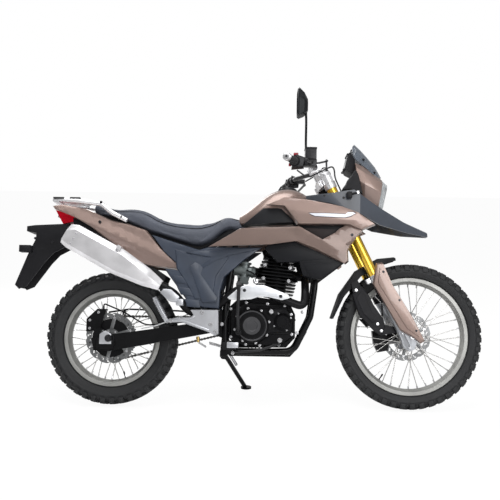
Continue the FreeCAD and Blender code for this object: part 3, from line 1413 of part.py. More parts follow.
def make_cables():
    """Front brake hose, throttle cable and clutch cable, all carried by the steering."""
    right, _, inwards = bar_end(-1)
    left, _, _ = bar_end(1)
    across = dim.grip_length + 3 + PERCH_AT
    master = right + inwards * across + Vector(92, -4, -3)
    hose = tube([
        master, master + Vector(50, 12, 14), fork_point(62, -100, 930), fork_point(66, 0, 915),
        fork_point(63, 88, 896), fork_point(62, 90, 830), fork_point(61, 91, 560), fork_point(57, 108, 460),
        fork_point(58, 98, 400),
        fork_point(58, 94, 260), fork_point(40, 73, 208), fork_point(10, 78, 150), Vector(1309, 77, 412),
        Vector(1300, 72, FRONT_AXLE_HEIGHT + 24 + dim.running_gap),
    ], 4.5, 70)
    throttle_from = right + inwards * (dim.grip_length + 24) + Vector(8, 0, -40)
    throttle = tube([
        throttle_from, throttle_from + Vector(50, 10, -34), fork_point(66, -150, 884),
        fork_point(78, -92, 872),
        fork_point(66, -77, 838), fork_point(63, -77, 720),
        fork_point(50, -72, dim.fork_top - YOKE_DROP + YOKE_THICK / 2 + 3 * dim.running_gap),
    ], 3.5, 70)
    clutch_from = left + Vector(inwards.x, -inwards.y, inwards.z) * across + Vector(64, -6, -3)
    clutch = tube([
        clutch_from, clutch_from + Vector(46, -8, 26), fork_point(80, 150, 945), fork_point(82, 95, 912),
        fork_point(70, 76, 850), fork_point(64, 76, 720),
        fork_point(50, 72, dim.fork_top - YOKE_DROP + YOKE_THICK / 2 + 3 * dim.running_gap),
    ], 3.5, 70)
    plain("control_cables", Part.makeCompound([hose, throttle, clutch]))


def make_foot_gear():
    pegs, brackets = [], []
    for side in (-1, 1):
        root = side * (dim.upright_spread + dim.frame_tube + dim.running_gap)
        ahead, up = dim.peg_ahead, dim.peg_height
        bracket = box(
            (dim.upright_ahead - 10, ahead + 12), sorted((root, root + side * 8)), (up - 22, up + 14),
        )
        stem = rod(Vector(ahead, root, up), Vector(ahead, side * 176, up), 9)
        tread = box((ahead - 26, ahead + 28), sorted((side * 168, side * dim.peg_reach)), (up - 8, up + 12))
        pegs.append(fused([bracket, stem, tread]))
    plain("rider_pegs", Part.makeCompound(pegs))
    outline = [
        (382, 455), (514, 455), (517, 343), (500, 333), (470, 350), (340, 394), (270, 392), (280, 408),
        (384, 420),
        (397, 432),
    ]
    plate = bevelled(outline, dim.peg_plate_side, dim.peg_plate_side + 12, 4)
    peg = hex_rod(Vector(272, -146, 398), Vector(212, -150, 508), 11)
    plain(
        "passenger_pegs",
        both_sides(fused([plate, peg, rod(Vector(272, -130, 398), Vector(272, -150, 398), 9)])),
    )

    shift = tube(
        [Vector(640, 96.5, 332), Vector(646, 122, 328), Vector(700, 130, 308), Vector(756, 132, 318)], 6,
        20,
    )
    toe = rod(Vector(756, 124, 318), Vector(756, 168, 318), 9)
    brake = tube(
        [Vector(590, -101.3, 262), Vector(604, -138, 262), Vector(700, -142, 270), Vector(780, -142, 296)],
        6, 20,
    )
    pad_plate = box((764, 800), (-172, -132), (294, 302))
    kick = tube(
        [Vector(606, -140, 352), Vector(606, -160, 358), Vector(603, -190, 440), Vector(606, -193, 572)],
        8, 30,
    )
    kick = kick.fuse(turned_at(KICK_SHAFT, -KICK_SIDE - dim.running_gap, -KICK_SIDE - 18, 13))
    kick = kick.fuse(rod(Vector(606, -186, 566), Vector(606, -214, 576), 10))
    plain("foot_levers", Part.makeCompound([fused([shift, toe]), fused([brake, pad_plate]), kick]))

    low = dim.cradle_height
    skid = [
        (560, low - 22), (850, low - 22), (890, low + 22), (930, 360), (922, 364), (880, low + 30),
        (846, low - 14),
        (560, low - 14),
    ]
    half = dim.cradle_spread - dim.frame_tube - dim.running_gap
    plain("skid_plate", plate_xz(skid, -half, half))


def stand_geometry():
    """Pivot, foot and pivot axis of the side stand: the leg swings back and up beside the swingarm."""
    pivot = Vector(dim.stand_pivot_ahead, dim.stand_pivot_side, dim.stand_pivot_height)
    lean = math.radians(dim.lean_angle)
    ground = math.tan(lean) * dim.stand_foot_side - RISE / math.cos(lean)
    foot = Vector(dim.stand_foot_ahead, dim.stand_foot_side, ground)
    axis = (foot - pivot).cross(Vector(-1, 0.12, 0.02)).normalize()
    return pivot, foot, axis


def stand_lug():
    """Plate under the left cradle tube that the stand's boss turns on."""
    pivot, _, axis = stand_geometry()
    tube_centre = Vector(pivot.x, dim.upright_spread, dim.cradle_height)
    centre = pivot - axis * (dim.stand_boss * 0.8 + dim.running_gap + 8)
    toward = tube_centre - centre
    toward = (toward - axis * toward.dot(axis)).normalize()
    across = axis.cross(toward) * dim.stand_boss
    reach = (tube_centre - centre).dot(toward)
    back = toward * -dim.stand_boss
    corners = [
        centre + back - across * 0.5, centre + back + across * 0.5, centre + across,
        centre + toward * reach + across,
    ]
    corners += [centre + toward * reach - across, centre - across]
    return polygon_face(corners).extrude(axis * 8)


def make_side_stand():
    pivot, foot, axis = stand_geometry()
    leg = foot - pivot
    half = axis * (dim.stand_boss * 0.8)
    boss = rod(pivot - half, pivot + half, dim.stand_boss)
    shaft = rod(pivot, foot - leg * (12 / leg.Length), 11)
    sole = Part.makeCylinder(27, 9)
    sole.Placement = Placement(foot, LEAN_TURN.inverted())
    plain("side_stand", fused([shaft, boss, sole]))


make_wheels()
make_fork()
make_handlebar()
make_front_fender()
make_front_caliper()
make_frame()
make_subframe()
make_engine()
make_exhaust()
tank_solid = make_tank()
make_shrouds(tank_solid)
make_front_bodywork()
make_seat(tank_solid)
make_tail()
make_swingarm()
make_chain()
make_rear_caliper()
make_cables()
make_foot_gear()
make_side_stand()
doc.recompute()

broken = [item.Label for item in doc.Objects if {"Invalid", "Error"} & set(item.State)]
faulty = [piece.Label for piece in pieces if piece.Shape.isNull() or not piece.Shape.isValid()]
if broken or faulty:
    raise RuntimeError(f"features failed: {broken}, shapes not valid: {faulty}")
os.makedirs("parts", exist_ok=True)
for piece in pieces:
    piece.Shape.exportStep(os.path.join("parts", f"{piece.Label}.step"))
    solids = len(piece.Shape.Solids)
    print(piece.Label, solids, "solids", round(piece.Shape.Volume / 1e6, 3), "litres")
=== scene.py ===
"""Finishes, padding and small parts of a dual sport motorcycle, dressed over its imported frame."""

import json
import logging
import math
from dataclasses import dataclass
from enum import Enum
from typing import Optional, Sequence, Union

import bmesh
import bpy
from mathutils import Matrix, Vector
from mathutils.bvhtree import BVHTree


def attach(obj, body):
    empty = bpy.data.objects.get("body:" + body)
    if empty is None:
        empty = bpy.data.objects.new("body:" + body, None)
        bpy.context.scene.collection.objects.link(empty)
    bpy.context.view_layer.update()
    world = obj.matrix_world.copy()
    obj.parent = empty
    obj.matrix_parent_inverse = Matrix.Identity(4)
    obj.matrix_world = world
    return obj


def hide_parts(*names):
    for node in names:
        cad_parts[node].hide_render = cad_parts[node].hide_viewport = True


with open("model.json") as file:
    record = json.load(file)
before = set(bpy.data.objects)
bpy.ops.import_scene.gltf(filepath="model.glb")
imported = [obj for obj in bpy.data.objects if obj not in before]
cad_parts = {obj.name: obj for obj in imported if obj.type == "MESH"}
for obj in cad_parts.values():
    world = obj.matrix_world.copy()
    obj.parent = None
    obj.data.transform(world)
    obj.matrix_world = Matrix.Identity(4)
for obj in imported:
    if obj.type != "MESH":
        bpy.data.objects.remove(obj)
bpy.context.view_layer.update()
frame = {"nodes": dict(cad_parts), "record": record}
LOG = logging.getLogger("motorcycle")

Number = Union[int, float]
Colour = tuple[float, float, float]
Point = tuple[float, float, float]
Outline = Sequence[tuple[float, float]]

MM = 0.001
LEAN_DEGREES = 12.0
RAKE_DEGREES = 26.0
ORIGIN_AHEAD, ORIGIN_LEFT, RISE = 648.0, 227.0, 4.345
WHEELBASE, FRONT_AXLE_HEIGHT, REAR_AXLE_HEIGHT = 1420.0, 346.1, 315.0
AXLE_OFFSET = 62.0

LEAN = Matrix.Translation(Vector((-ORIGIN_AHEAD, -ORIGIN_LEFT, RISE)) * MM) @ Matrix.Rotation(
    -math.radians(LEAN_DEGREES), 4, "X"
)
RAKE = math.radians(RAKE_DEGREES)
FORK_BASE = Vector(
    (WHEELBASE - AXLE_OFFSET * math.cos(RAKE), 0.0, FRONT_AXLE_HEIGHT - AXLE_OFFSET * math.sin(RAKE))
)
BIKE = LEAN @ Matrix.Scale(MM, 4)
FORK_TURN = Matrix.Translation(FORK_BASE) @ Matrix.Rotation(-RAKE, 4, "Y")
FORK = BIKE @ FORK_TURN
ENGINE = Matrix.Translation((772.0, 0.0, 520.0)) @ Matrix.Rotation(math.radians(6.0), 4, "Y")


class Body(Enum):
    """The moving bodies that a piece can ride on."""

    FRAME = "frame"
    STEERING = "steering"
    FRONT_WHEEL = "front_wheel"
    REAR_WHEEL = "rear_wheel"
    SIDE_STAND = "side_stand"


class Axis(Enum):
    """The directions that turned parts face."""

    RIGHT = (0.0, -1.0, 0.0)
    LEFT = (0.0, 1.0, 0.0)
    UP = (0.0, 0.0, 1.0)
    BACK = (-1.0, 0.0, 0.0)
    AHEAD = (1.0, 0.0, 0.0)


def facing(origin: Sequence[float], axis: Union[Axis, Sequence[float]]) -> Matrix:
    """A setting at origin whose Z runs along axis."""
    along = Vector(axis.value if isinstance(axis, Axis) else axis)
    return Matrix.Translation(Vector(origin)) @ along.to_track_quat("Z", "Y").to_matrix().to_4x4()


def polar(angle: float) -> Vector:
    """A unit vector in a plane, at an angle in radians."""
    return Vector((math.cos(angle), math.sin(angle)))


class Shape:
    """A mesh being modelled, in millimetres of the setting that it is placed by later."""

    def __init__(self) -> None:
        """Starts with nothing."""
        self.mesh = bmesh.new()

    @classmethod
    def turned(cls, profile: Outline, steps: int = 24, ring: bool = False) -> "Shape":
        """A form turned about Z.

        Args:
            profile: (radius, height) points.
            steps: flats round the form.
            ring: whether the profile closes on itself.

        Returns:
            The turned form.
        """
        shape = cls()
        verts = [shape.mesh.verts.new((radius, 0.0, height)) for radius, height in profile]
        pairs = zip(verts, verts[1:] + verts[:1]) if ring else zip(verts, verts[1:])
        edges = [shape.mesh.edges.new(pair) for pair in pairs]
        bmesh.ops.spin(
            shape.mesh, geom=verts + edges, cent=(0, 0, 0), axis=(0, 0, 1), angle=2 * math.pi,
            steps=steps, use_merge=True,
        )
        return shape.sealed()

    @classmethod
    def prism(cls, corners: Sequence[Point], along: Point, round_by: float = 0.0) -> "Shape":
        """A flat outline drawn out along one direction, with rounded edges.

        Args:
            corners: the outline's corners.
            along: how far the outline is drawn out, and which way.
            round_by: width of the rounded edges.

        Returns:
            The finished form.
        """
        shape = cls()
        face = shape.mesh.faces.new([shape.mesh.verts.new(corner) for corner in corners])
        grown = bmesh.ops.extrude_face_region(shape.mesh, geom=[face])["geom"]
        moved = [item for item in grown if isinstance(item, bmesh.types.BMVert)]
        bmesh.ops.translate(shape.mesh, verts=moved, vec=along)
        return shape.sealed().rounded(round_by)

    @classmethod
    def plate(cls, outline: Outline, y_from: float, y_to: float, round_by: float = 0.8) -> "Shape":
        """An outline of (x, z) corners, seen from the side, from one y to another."""
        return cls.prism([(x, y_from, z) for x, z in outline], (0.0, y_to - y_from, 0.0), round_by)

    @classmethod
    def block(cls, low: Point, high: Point, round_by: float = 1.0) -> "Shape":
        """A block with rounded edges.

        Args:
            low: the corner with the smallest coordinates.
            high: the corner with the largest.
            round_by: width of the rounded edges.

        Returns:
            The finished form.
        """
        shape = cls()
        size, middle = Vector(high) - Vector(low), (Vector(high) + Vector(low)) / 2
        place = Matrix.Translation(middle) @ Matrix.Diagonal((*size, 1.0))
        bmesh.ops.create_cube(shape.mesh, size=1.0, matrix=place)
        return shape.rounded(round_by)

    @classmethod
    def bolt(cls, radius: float = 5.0, height: float = 5.0, steps: int = 12) -> "Shape":
        """A washer and a socket head that stand on Z = 0.

        Args:
            radius: radius of the head.
            height: height of the head.
            steps: flats round it.

        Returns:
            The finished form.
        """
        return cls.turned(
            [
                (0.0, -2.0), (radius * 1.45, -2.0), (radius * 1.45, 1.0), (radius, 1.2),
                (radius, height - 0.8),
                (radius - 0.8, height), (radius * 0.55, height), (radius * 0.5, height * 0.4),
                (0.0, height * 0.4),
            ],
            steps,
        )

    @classmethod
    def nut(cls, radius: float = 8.0, height: float = 8.0, stud: float = 3.0) -> "Shape":
        """A hexagon nut on a round washer, with the end of its stud.

        Args:
            radius: radius to the corners.
            height: height of the nut.
            stud: how far the stud stands out.

        Returns:
            The finished form.
        """
        shape = cls.turned(
            [(0.0, 0.0), (radius, 0.0), (radius, height - 1), (radius - 1.4, height), (0.0, height)], 6,
        )
        shape.take(cls.turned([(0.0, -2.0), (radius * 1.25, -2.0), (radius * 1.25, 1.4), (0.0, 1.4)], 20))
        end = radius * 0.55
        return shape.take(
            cls.turned(
                [
                    (0.0, 0.0), (end, 0.0), (end, height + stud - 1), (end - 1, height + stud),
                    (0.0, height + stud),
                ],
                12,
            )
        )

    @classmethod
    def hose(cls, points: Sequence[Point], radius: float, flats: int = 2) -> "Shape":
        """A round hose, wire or bead along a smooth line led by a few points.

        Args:
            points: points that lead the line.
            radius: radius of the hose.
            flats: steps of each quarter turn.

        Returns:
            The finished form.
        """
        curve = bpy.data.curves.new("line", "CURVE")
        curve.dimensions = "3D"
        curve.bevel_depth, curve.bevel_resolution = radius, flats
        curve.use_fill_caps, curve.resolution_u = True, 8
        spline = curve.splines.new("NURBS")
        spline.points.add(len(points) - 1)
        for knot, point in zip(spline.points, points):
            knot.co = (*point, 1.0)
        spline.order_u = 3
        spline.use_endpoint_u = True
        holder = bpy.data.objects.new("line", curve)
        data = bpy.data.meshes.new_from_object(holder)
        shape = cls()
        shape.mesh.from_mesh(data)
        bpy.data.objects.remove(holder)
        bpy.data.meshes.remove(data)
        bpy.data.curves.remove(curve)
        return shape.sealed()

    @classmethod
    def coil(cls, reach: float, wire: float, pitch: float, turns: int, steps: int = 20) -> "Shape":
        """A coil spring about Z that starts at Z = 0.

        Args:
            reach: radius of the spring.
            wire: radius of its wire.
            pitch: rise in one turn.
            turns: number of turns.
            steps: flats in one turn.

        Returns:
            The finished form.
        """
        shape = cls()
        place = Matrix.Translation((reach, 0.0, 0.0)) @ Matrix.Rotation(math.pi / 2, 4, "X")
        ring = bmesh.ops.create_circle(shape.mesh, segments=8, radius=wire, matrix=place)["verts"]
        edges = list({edge for vert in ring for edge in vert.link_edges})
        bmesh.ops.spin(
            shape.mesh, geom=ring + edges, cent=(0, 0, 0), axis=(0, 0, 1), dvec=(0, 0, pitch / steps),
            angle=2 * math.pi * turns, steps=steps * turns,
        )
        bmesh.ops.holes_fill(shape.mesh, edges=shape.mesh.edges, sides=8)
        return shape.sealed()

    def everything(self) -> list[object]:
        """All of the mesh, as the operators take it."""
        return [*self.mesh.verts, *self.mesh.edges, *self.mesh.faces]

    def sealed(self) -> "Shape":
        """Joins doubled points, then turns every face outwards.

        Returns:
            This shape.
        """
        bmesh.ops.remove_doubles(self.mesh, verts=self.mesh.verts, dist=0.001)
        bmesh.ops.recalc_face_normals(self.mesh, faces=self.mesh.faces)
        return self

    def rounded(self, width: float, segments: int = 2, above: float = 30.0) -> "Shape":
        """Bevels every edge sharper than an angle in degrees.

        Args:
            width: width of the bevel, 0 for none.
            segments: steps across it.
            above: the angle.

        Returns:
            This shape.
        """
        if width:
            limit = math.radians(above)
            edges = [
                edge
                for edge in self.mesh.edges
                if len(edge.link_faces) == 2 and edge.calc_face_angle() > limit
            ]
            bmesh.ops.bevel(
                self.mesh, geom=edges, offset=width, offset_type="OFFSET", affect="EDGES", segments=segments,
                profile=0.5, material=-1, clamp_overlap=True,
            )
        return self

    def grown(self, by: float) -> "Shape":
        """Moves every face outwards by a distance.

        Args:
            by: the distance.

        Returns:
            This shape.
        """
        self.mesh.normal_update()
        for vert in self.mesh.verts:
            vert.co += vert.normal * by
        return self

    def slab(self, thickness: float) -> "Shape":
        """Thickens a flat sheet on the XY plane, half of it on each side.

        Args:
            thickness: thickness of the slab.

        Returns:
            This shape.
        """
        top = bmesh.ops.extrude_face_region(self.mesh, geom=self.mesh.faces[:])["geom"]
        raised = {item for item in top if isinstance(item, bmesh.types.BMVert)}
        for vert in self.mesh.verts:
            vert.co.z = thickness / 2 if vert in raised else -thickness / 2
        bmesh.ops.recalc_face_normals(self.mesh, faces=self.mesh.faces)
        return self

    def moved(self, place: Matrix) -> "Shape":
        """Moves or turns the whole shape."""
        bmesh.ops.transform(self.mesh, matrix=place, verts=self.mesh.verts)
        return self

    def take(self, other: "Shape", place: Optional[Matrix] = None) -> "Shape":
        """Takes another shape in, moved by place.

        Args:
            other: the shape that is taken in and used up.
            place: its setting, or None to leave it where it is.

        Returns:
            This shape.
        """
        if place is not None:
            other.moved(place)
        data = bpy.data.meshes.new("passing")
        other.mesh.to_mesh(data)
        other.mesh.free()
        self.mesh.from_mesh(data)
        bpy.data.meshes.remove(data)
        return self

    def repeated(self, count: int, axis: Axis = Axis.LEFT) -> "Shape":
        """Copies spaced evenly round an axis through the origin.

        Args:
            count: how many there are in all.
            axis: the axis.

        Returns:
            This shape.
        """
        bmesh.ops.spin(
            self.mesh, geom=self.everything(), cent=(0, 0, 0), axis=axis.value,
            angle=2 * math.pi * (count - 1) / count, steps=count - 1, use_duplicate=True,
        )
        return self

    def both_sides(self) -> "Shape":
        """Adds the mirror image across the middle plane.

        Returns:
            This shape.
        """
        twin = bmesh.ops.duplicate(self.mesh, geom=self.everything())["geom"]
        verts = [item for item in twin if isinstance(item, bmesh.types.BMVert)]
        faces = [item for item in twin if isinstance(item, bmesh.types.BMFace)]
        bmesh.ops.scale(self.mesh, verts=verts, vec=(1, -1, 1))
        bmesh.ops.reverse_faces(self.mesh, faces=faces)
        return self

    def cut(self, through: Point, across: Point) -> "Shape":
        """Adds edges where a plane crosses the faces."""
        bmesh.ops.bisect_plane(
            self.mesh, geom=self.everything(), dist=0.01, plane_co=through, plane_no=across,
        )
        return self

    def sliced(self, pitch: float) -> "Shape":
        """Cuts the faces along a square grid seen from the side, so that they can be curved.

        Args:
            pitch: side of one square.

        Returns:
            This shape.
        """
        bmesh.ops.triangulate(self.mesh, faces=self.mesh.faces)
        for place in (0, 2):
            values = [vert.co[place] for vert in self.mesh.verts]
            low, high = min(values), max(values)
            across = (1.0, 0.0, 0.0) if place == 0 else (0.0, 0.0, 1.0)
            for index in range(1, int((high - low) / pitch) + 1):
                self.cut(tuple(value * (low + index * pitch) for value in across), across)
        return self

    def crowned(self, centre: tuple[float, float], reach: tuple[float, float], height: float) -> "Shape":
        """Bulges the sides outwards round a centre seen from the side.

        Args:
            centre: (x, z) of the middle.
            reach: half widths along x and z.
            height: how far the middle moves.

        Returns:
            This shape.
        """
        for vert in self.mesh.verts:
            share = ((vert.co.x - centre[0]) / reach[0]) ** 2 + ((vert.co.z - centre[1]) / reach[1]) ** 2
            vert.co.y += math.copysign(height * max(0.0, 1.0 - share) ** 2, vert.co.y)
        return self

    def ridged(
        self, start: tuple[float, float], end: tuple[float, float], fall: float, height: float,
    ) -> "Shape":
        """Lifts a crisp ridge along a line seen from the side, which falls away on both sides of it.

        Args:
            start: first (x, z) point of the line.
            end: last point, past which the ridge fades out.
            fall: how far the slopes reach from the line.
            height: how far the ridge stands out.

        Returns:
            This shape.
        """
        first, along = Vector(start), Vector(end) - Vector(start)
        normal = Vector((-along.y, along.x)).normalized()
        for offset in (-fall, 0.0, fall):
            spot = first + normal * offset
            self.cut((spot.x, 0.0, spot.y), (normal.x, 0.0, normal.y))
        for vert in self.mesh.verts:
            place = Vector((vert.co.x, vert.co.z)) - first
            slope = max(0.0, 1.0 - abs(place.dot(normal)) / fall)
            reach = place.dot(along) / along.length_squared
            fade = min(1.0, max(0.0, min(reach * 6 + 1, (1 - reach) * 6 + 1)))
            vert.co.y += math.copysign(height * slope * fade, vert.co.y)
        return self


class Wire:
    """A shader socket that takes part in Python arithmetic."""

    def __init__(self, graph: "Graph", socket: bpy.types.NodeSocket) -> None:
        """Keeps the socket and the graph that new Math nodes go into."""
        self.graph = graph
        self.socket = socket

    def math(self, operation: str, *others: "Operand") -> "Wire":
        """Adds one Math node.

        Args:
            operation: the node's operation.
            others: the second and third values.

        Returns:
            The node's result.
        """
        inputs = {index: item for index, item in enumerate((self, *others))}
        return self.graph.node("ShaderNodeMath", {"operation": operation}, inputs)

    def __add__(self, other: "Operand") -> "Wire":
        """Sum."""
        return self.math("ADD", other)

    __radd__ = __add__

    def __mul__(self, other: "Operand") -> "Wire":
        """Product."""
        return self.math("MULTIPLY", other)

    __rmul__ = __mul__

    def __sub__(self, other: "Operand") -> "Wire":
        """Difference."""
        return self.math("SUBTRACT", other)

    def __rsub__(self, other: Number) -> "Wire":
        """Reflected difference."""
        return self * -1.0 + other

    def __truediv__(self, other: "Operand") -> "Wire":
        """Quotient."""
        return self.math("DIVIDE", other)

    def step(self, low: float, high: float) -> "Wire":
        """Smooth 0 to 1 between two values."""
        settings = {"interpolation_type": "SMOOTHSTEP"}
        return self.graph.node("ShaderNodeMapRange", settings, {0: self, 1: low, 2: high})


Operand = Union[Wire, Number]


class Graph:
    """The nodes of one material."""

    def __init__(self, name: str) -> None:
        """Starts a material with nothing in it but its output.

        Args:
            name: the material's name.
        """
        self.material = bpy.data.materials.new(name)
        self.material.use_nodes = True
        self.tree = self.material.node_tree
        self.tree.nodes.clear()
        self.output = self.tree.nodes.new("ShaderNodeOutputMaterial")

    def node(
        self,
        kind: str,
        settings: Optional[dict[str, object]] = None,
        inputs: Optional[dict[Union[int, str], object]] = None,
        output: Union[int, str] = 0,
    ) -> Wire:
        """Adds one node.

        Args:
            kind: the node's type.
            settings: its own settings, set first; "stops" fills a colour ramp.
            inputs: values or wires for its sockets, by name or place.
            output: which of its outputs is wanted.

        Returns:
            That output.
        """
        made = self.tree.nodes.new(kind)
        for key, value in (settings or {}).items():
            if key == "stops":
                ramp = made.color_ramp
                for index, (place, colour) in enumerate(value):
                    stop = ramp.elements[index] if index < 2 else ramp.elements.new(place)
                    stop.position, stop.color = place, (*colour, 1.0)
            else:
                setattr(made, key, value)
        for key, value in (inputs or {}).items():
            socket = made.inputs[key]
            if isinstance(value, Wire):
                self.tree.links.new(value.socket, socket)
            elif socket.type == "RGBA" and len(value) == 3:
                socket.default_value = (*value, 1.0)
            else:
                socket.default_value = value
        return Wire(self, made.outputs[output])

    def place(self) -> Wire:
        """Object coordinates, in metres."""
        return self.node("ShaderNodeTexCoord", output="Object")

    def noise(self, scale: float, detail: float = 3.0, stretch: Point = (1.0, 1.0, 1.0)) -> Wire:
        """Noise on the object, drawn out by stretch."""
        where = self.node("ShaderNodeMapping", inputs={"Vector": self.place(), "Scale": stretch})
        return self.node("ShaderNodeTexNoise", inputs={"Vector": where, "Scale": scale, "Detail": detail})

    def tint(self, factor: Operand, first: object, second: object) -> Wire:
        """Mixes two colours."""
        settings = {"data_type": "RGBA"}
        return self.node("ShaderNodeMix", settings, {0: factor, 6: first, 7: second}, output=2)

    def bump(self, height: Wire, depth: float, strength: float = 1.0) -> Wire:
        """A normal from a height, depth in metres."""
        return self.node("ShaderNodeBump", inputs={"Height": height, "Distance": depth, "Strength": strength})

    def surface(self, **sockets: object) -> Wire:
        """The shader itself, joined to the output.

        Args:
            sockets: values or wires by socket, in lower case with underscores.

        Returns:
            The shader.
        """
        names = {key.replace("_", " ").title().replace("Ior", "IOR"): value for key, value in sockets.items()}
        shader = self.node("ShaderNodeBsdfPrincipled", inputs=names)
        self.tree.links.new(shader.socket, self.output.inputs["Surface"])
        return shader


@dataclass(frozen=True)
class Finish:
    """A coloured finish with fine grain, tone changes and a little dust."""

    name: str
    colour: Colour
    roughness: float = 0.4
    metallic: float = 0.0
    coat: float = 0.0
    tone: float = 0.12
    grain_scale: float = 900.0
    grain_depth: float = 0.00006
    stretch: Point = (1.0, 1.0, 1.0)
    dust: float = 0.0
    specular: float = 0.5

    def shades(self, share: float) -> Colour:
        """The colour, darker or lighter by a share."""
        return tuple(min(1.0, channel * (1.0 + share)) for channel in self.colour)

    def colours(self, graph: Graph) -> Wire:
        """Tone changes over the surface, with dust above them.

        Args:
            graph: the material's nodes.

        Returns:
            The colour's wire.
        """
        blotches = graph.noise(9.0, 4.0)
        base = graph.tint(blotches.step(0.3, 0.7), self.shades(-self.tone), self.shades(self.tone))
        if self.dust:
            film = graph.noise(23.0, 6.0).step(0.45, 0.75) * self.dust
            base = graph.tint(film, base, (0.32, 0.28, 0.23))
        return base

    def material(self) -> bpy.types.Material:
        """Builds the node material.

        Returns:
            The finished material.
        """
        graph = Graph(self.name)
        grain = graph.noise(self.grain_scale, 2.0, self.stretch)
        smudge = graph.noise(31.0, 5.0)
        graph.surface(
            base_color=self.colours(graph),
            roughness=smudge * 0.16 + (self.roughness - 0.08),
            metallic=self.metallic,
            coat_weight=self.coat,
            coat_roughness=0.06,
            specular_ior_level=self.specular,
            normal=graph.bump(grain, self.grain_depth),
        )
        return graph.material


@dataclass(frozen=True)
class FlakePaint(Finish):
    """Metallic paint: small bright flakes under a clear coat."""

    flake_scale: float = 2400.0

    def material(self) -> bpy.types.Material:
        """Builds the paint.

        Returns:
            The finished material.
        """
        graph = Graph(self.name)
        cells = graph.node(
            "ShaderNodeTexVoronoi", {}, {"Vector": graph.place(), "Scale": self.flake_scale}, output="Color"
        )
        sparkle = graph.node("ShaderNodeSeparateColor", {}, {0: cells})
        base = graph.tint(sparkle * 0.4, self.colours(graph), self.shades(0.5))
        ripple = graph.noise(160.0, 1.0)
        graph.surface(
            base_color=base,
            roughness=sparkle * 0.14 + self.roughness,
            metallic=self.metallic,
            coat_weight=self.coat,
            coat_roughness=0.05,
            normal=graph.bump(sparkle + ripple * 2.0, 0.00002),
        )
        return graph.material


@dataclass(frozen=True)
class Tread(Finish):
    """Tyre rubber: rings on the sidewall, scuffed and dusty tread."""

    centre: Point = (0.0, 0.0, 0.0)
    ring_pitch: float = 0.006

    def material(self) -> bpy.types.Material:
        """Builds the rubber.

        Returns:
            The finished material.
        """
        graph = Graph(self.name)
        offset = graph.node(
            "ShaderNodeVectorMath", {"operation": "SUBTRACT"}, {0: graph.place(), 1: self.centre}
        )
        reach = graph.node("ShaderNodeVectorMath", {"operation": "LENGTH"}, {0: offset}, output="Value")
        rings = (reach * (2.0 * math.pi / self.ring_pitch)).math("SINE")
        grain = graph.noise(700.0, 4.0)
        scuffs = graph.noise(46.0, 6.0).step(0.5, 0.72)
        base = graph.tint(scuffs * 0.3, self.colours(graph), (0.034, 0.035, 0.037))
        graph.surface(
            base_color=base,
            roughness=scuffs * 0.12 + self.roughness,
            normal=graph.bump(rings * 0.35 + grain, 0.0003),
        )
        return graph.material


@dataclass(frozen=True)
class SeatCloth(Finish):
    """Grained vinyl: pebbled cells with fine wrinkles between the seams."""

    pebble: float = 620.0

    def material(self) -> bpy.types.Material:
        """Builds the vinyl.

        Returns:
            The finished material.
        """
        graph = Graph(self.name)
        cells = graph.node(
            "ShaderNodeTexVoronoi", {"feature": "DISTANCE_TO_EDGE"},
            {"Vector": graph.place(), "Scale": self.pebble}
        )
        creases = graph.noise(38.0, 5.0, (1.0, 2.2, 1.0))
        wear = graph.noise(12.0, 4.0).step(0.5, 0.8)
        base = graph.tint(wear * 0.4, self.colours(graph), self.shades(0.45))
        graph.surface(
            base_color=base,
            roughness=self.roughness - wear * 0.1,
            normal=graph.bump(cells.step(0.0, 0.25) + creases * 3.0, self.grain_depth),
            coat_weight=self.coat,
        )
        return graph.material


@dataclass(frozen=True)
class Clear(Finish):
    """Tinted clear plastic, seen through as far as its alpha lets it."""

    alpha: float = 0.5
    ribs: float = 0.0

    def material(self) -> bpy.types.Material:
        """Builds the plastic.

        Returns:
            The finished material.
        """
        graph = Graph(self.name)
        haze = graph.noise(12.0, 3.0)
        height = graph.noise(300.0, 1.0) * 0.1
        if self.ribs:
            place = graph.node("ShaderNodeSeparateXYZ", {}, {0: graph.place()}, output="Y")
            height = height + (place * (2.0 * math.pi / self.ribs)).math("SINE")
        graph.surface(
            base_color=self.colours(graph),
            roughness=haze * 0.06 + self.roughness,
            metallic=self.metallic,
            alpha=haze * 0.1 + (self.alpha - 0.05),
            coat_weight=self.coat,
            normal=graph.bump(height, 0.0004 if self.ribs else 0.00005),
        )
        return graph.material


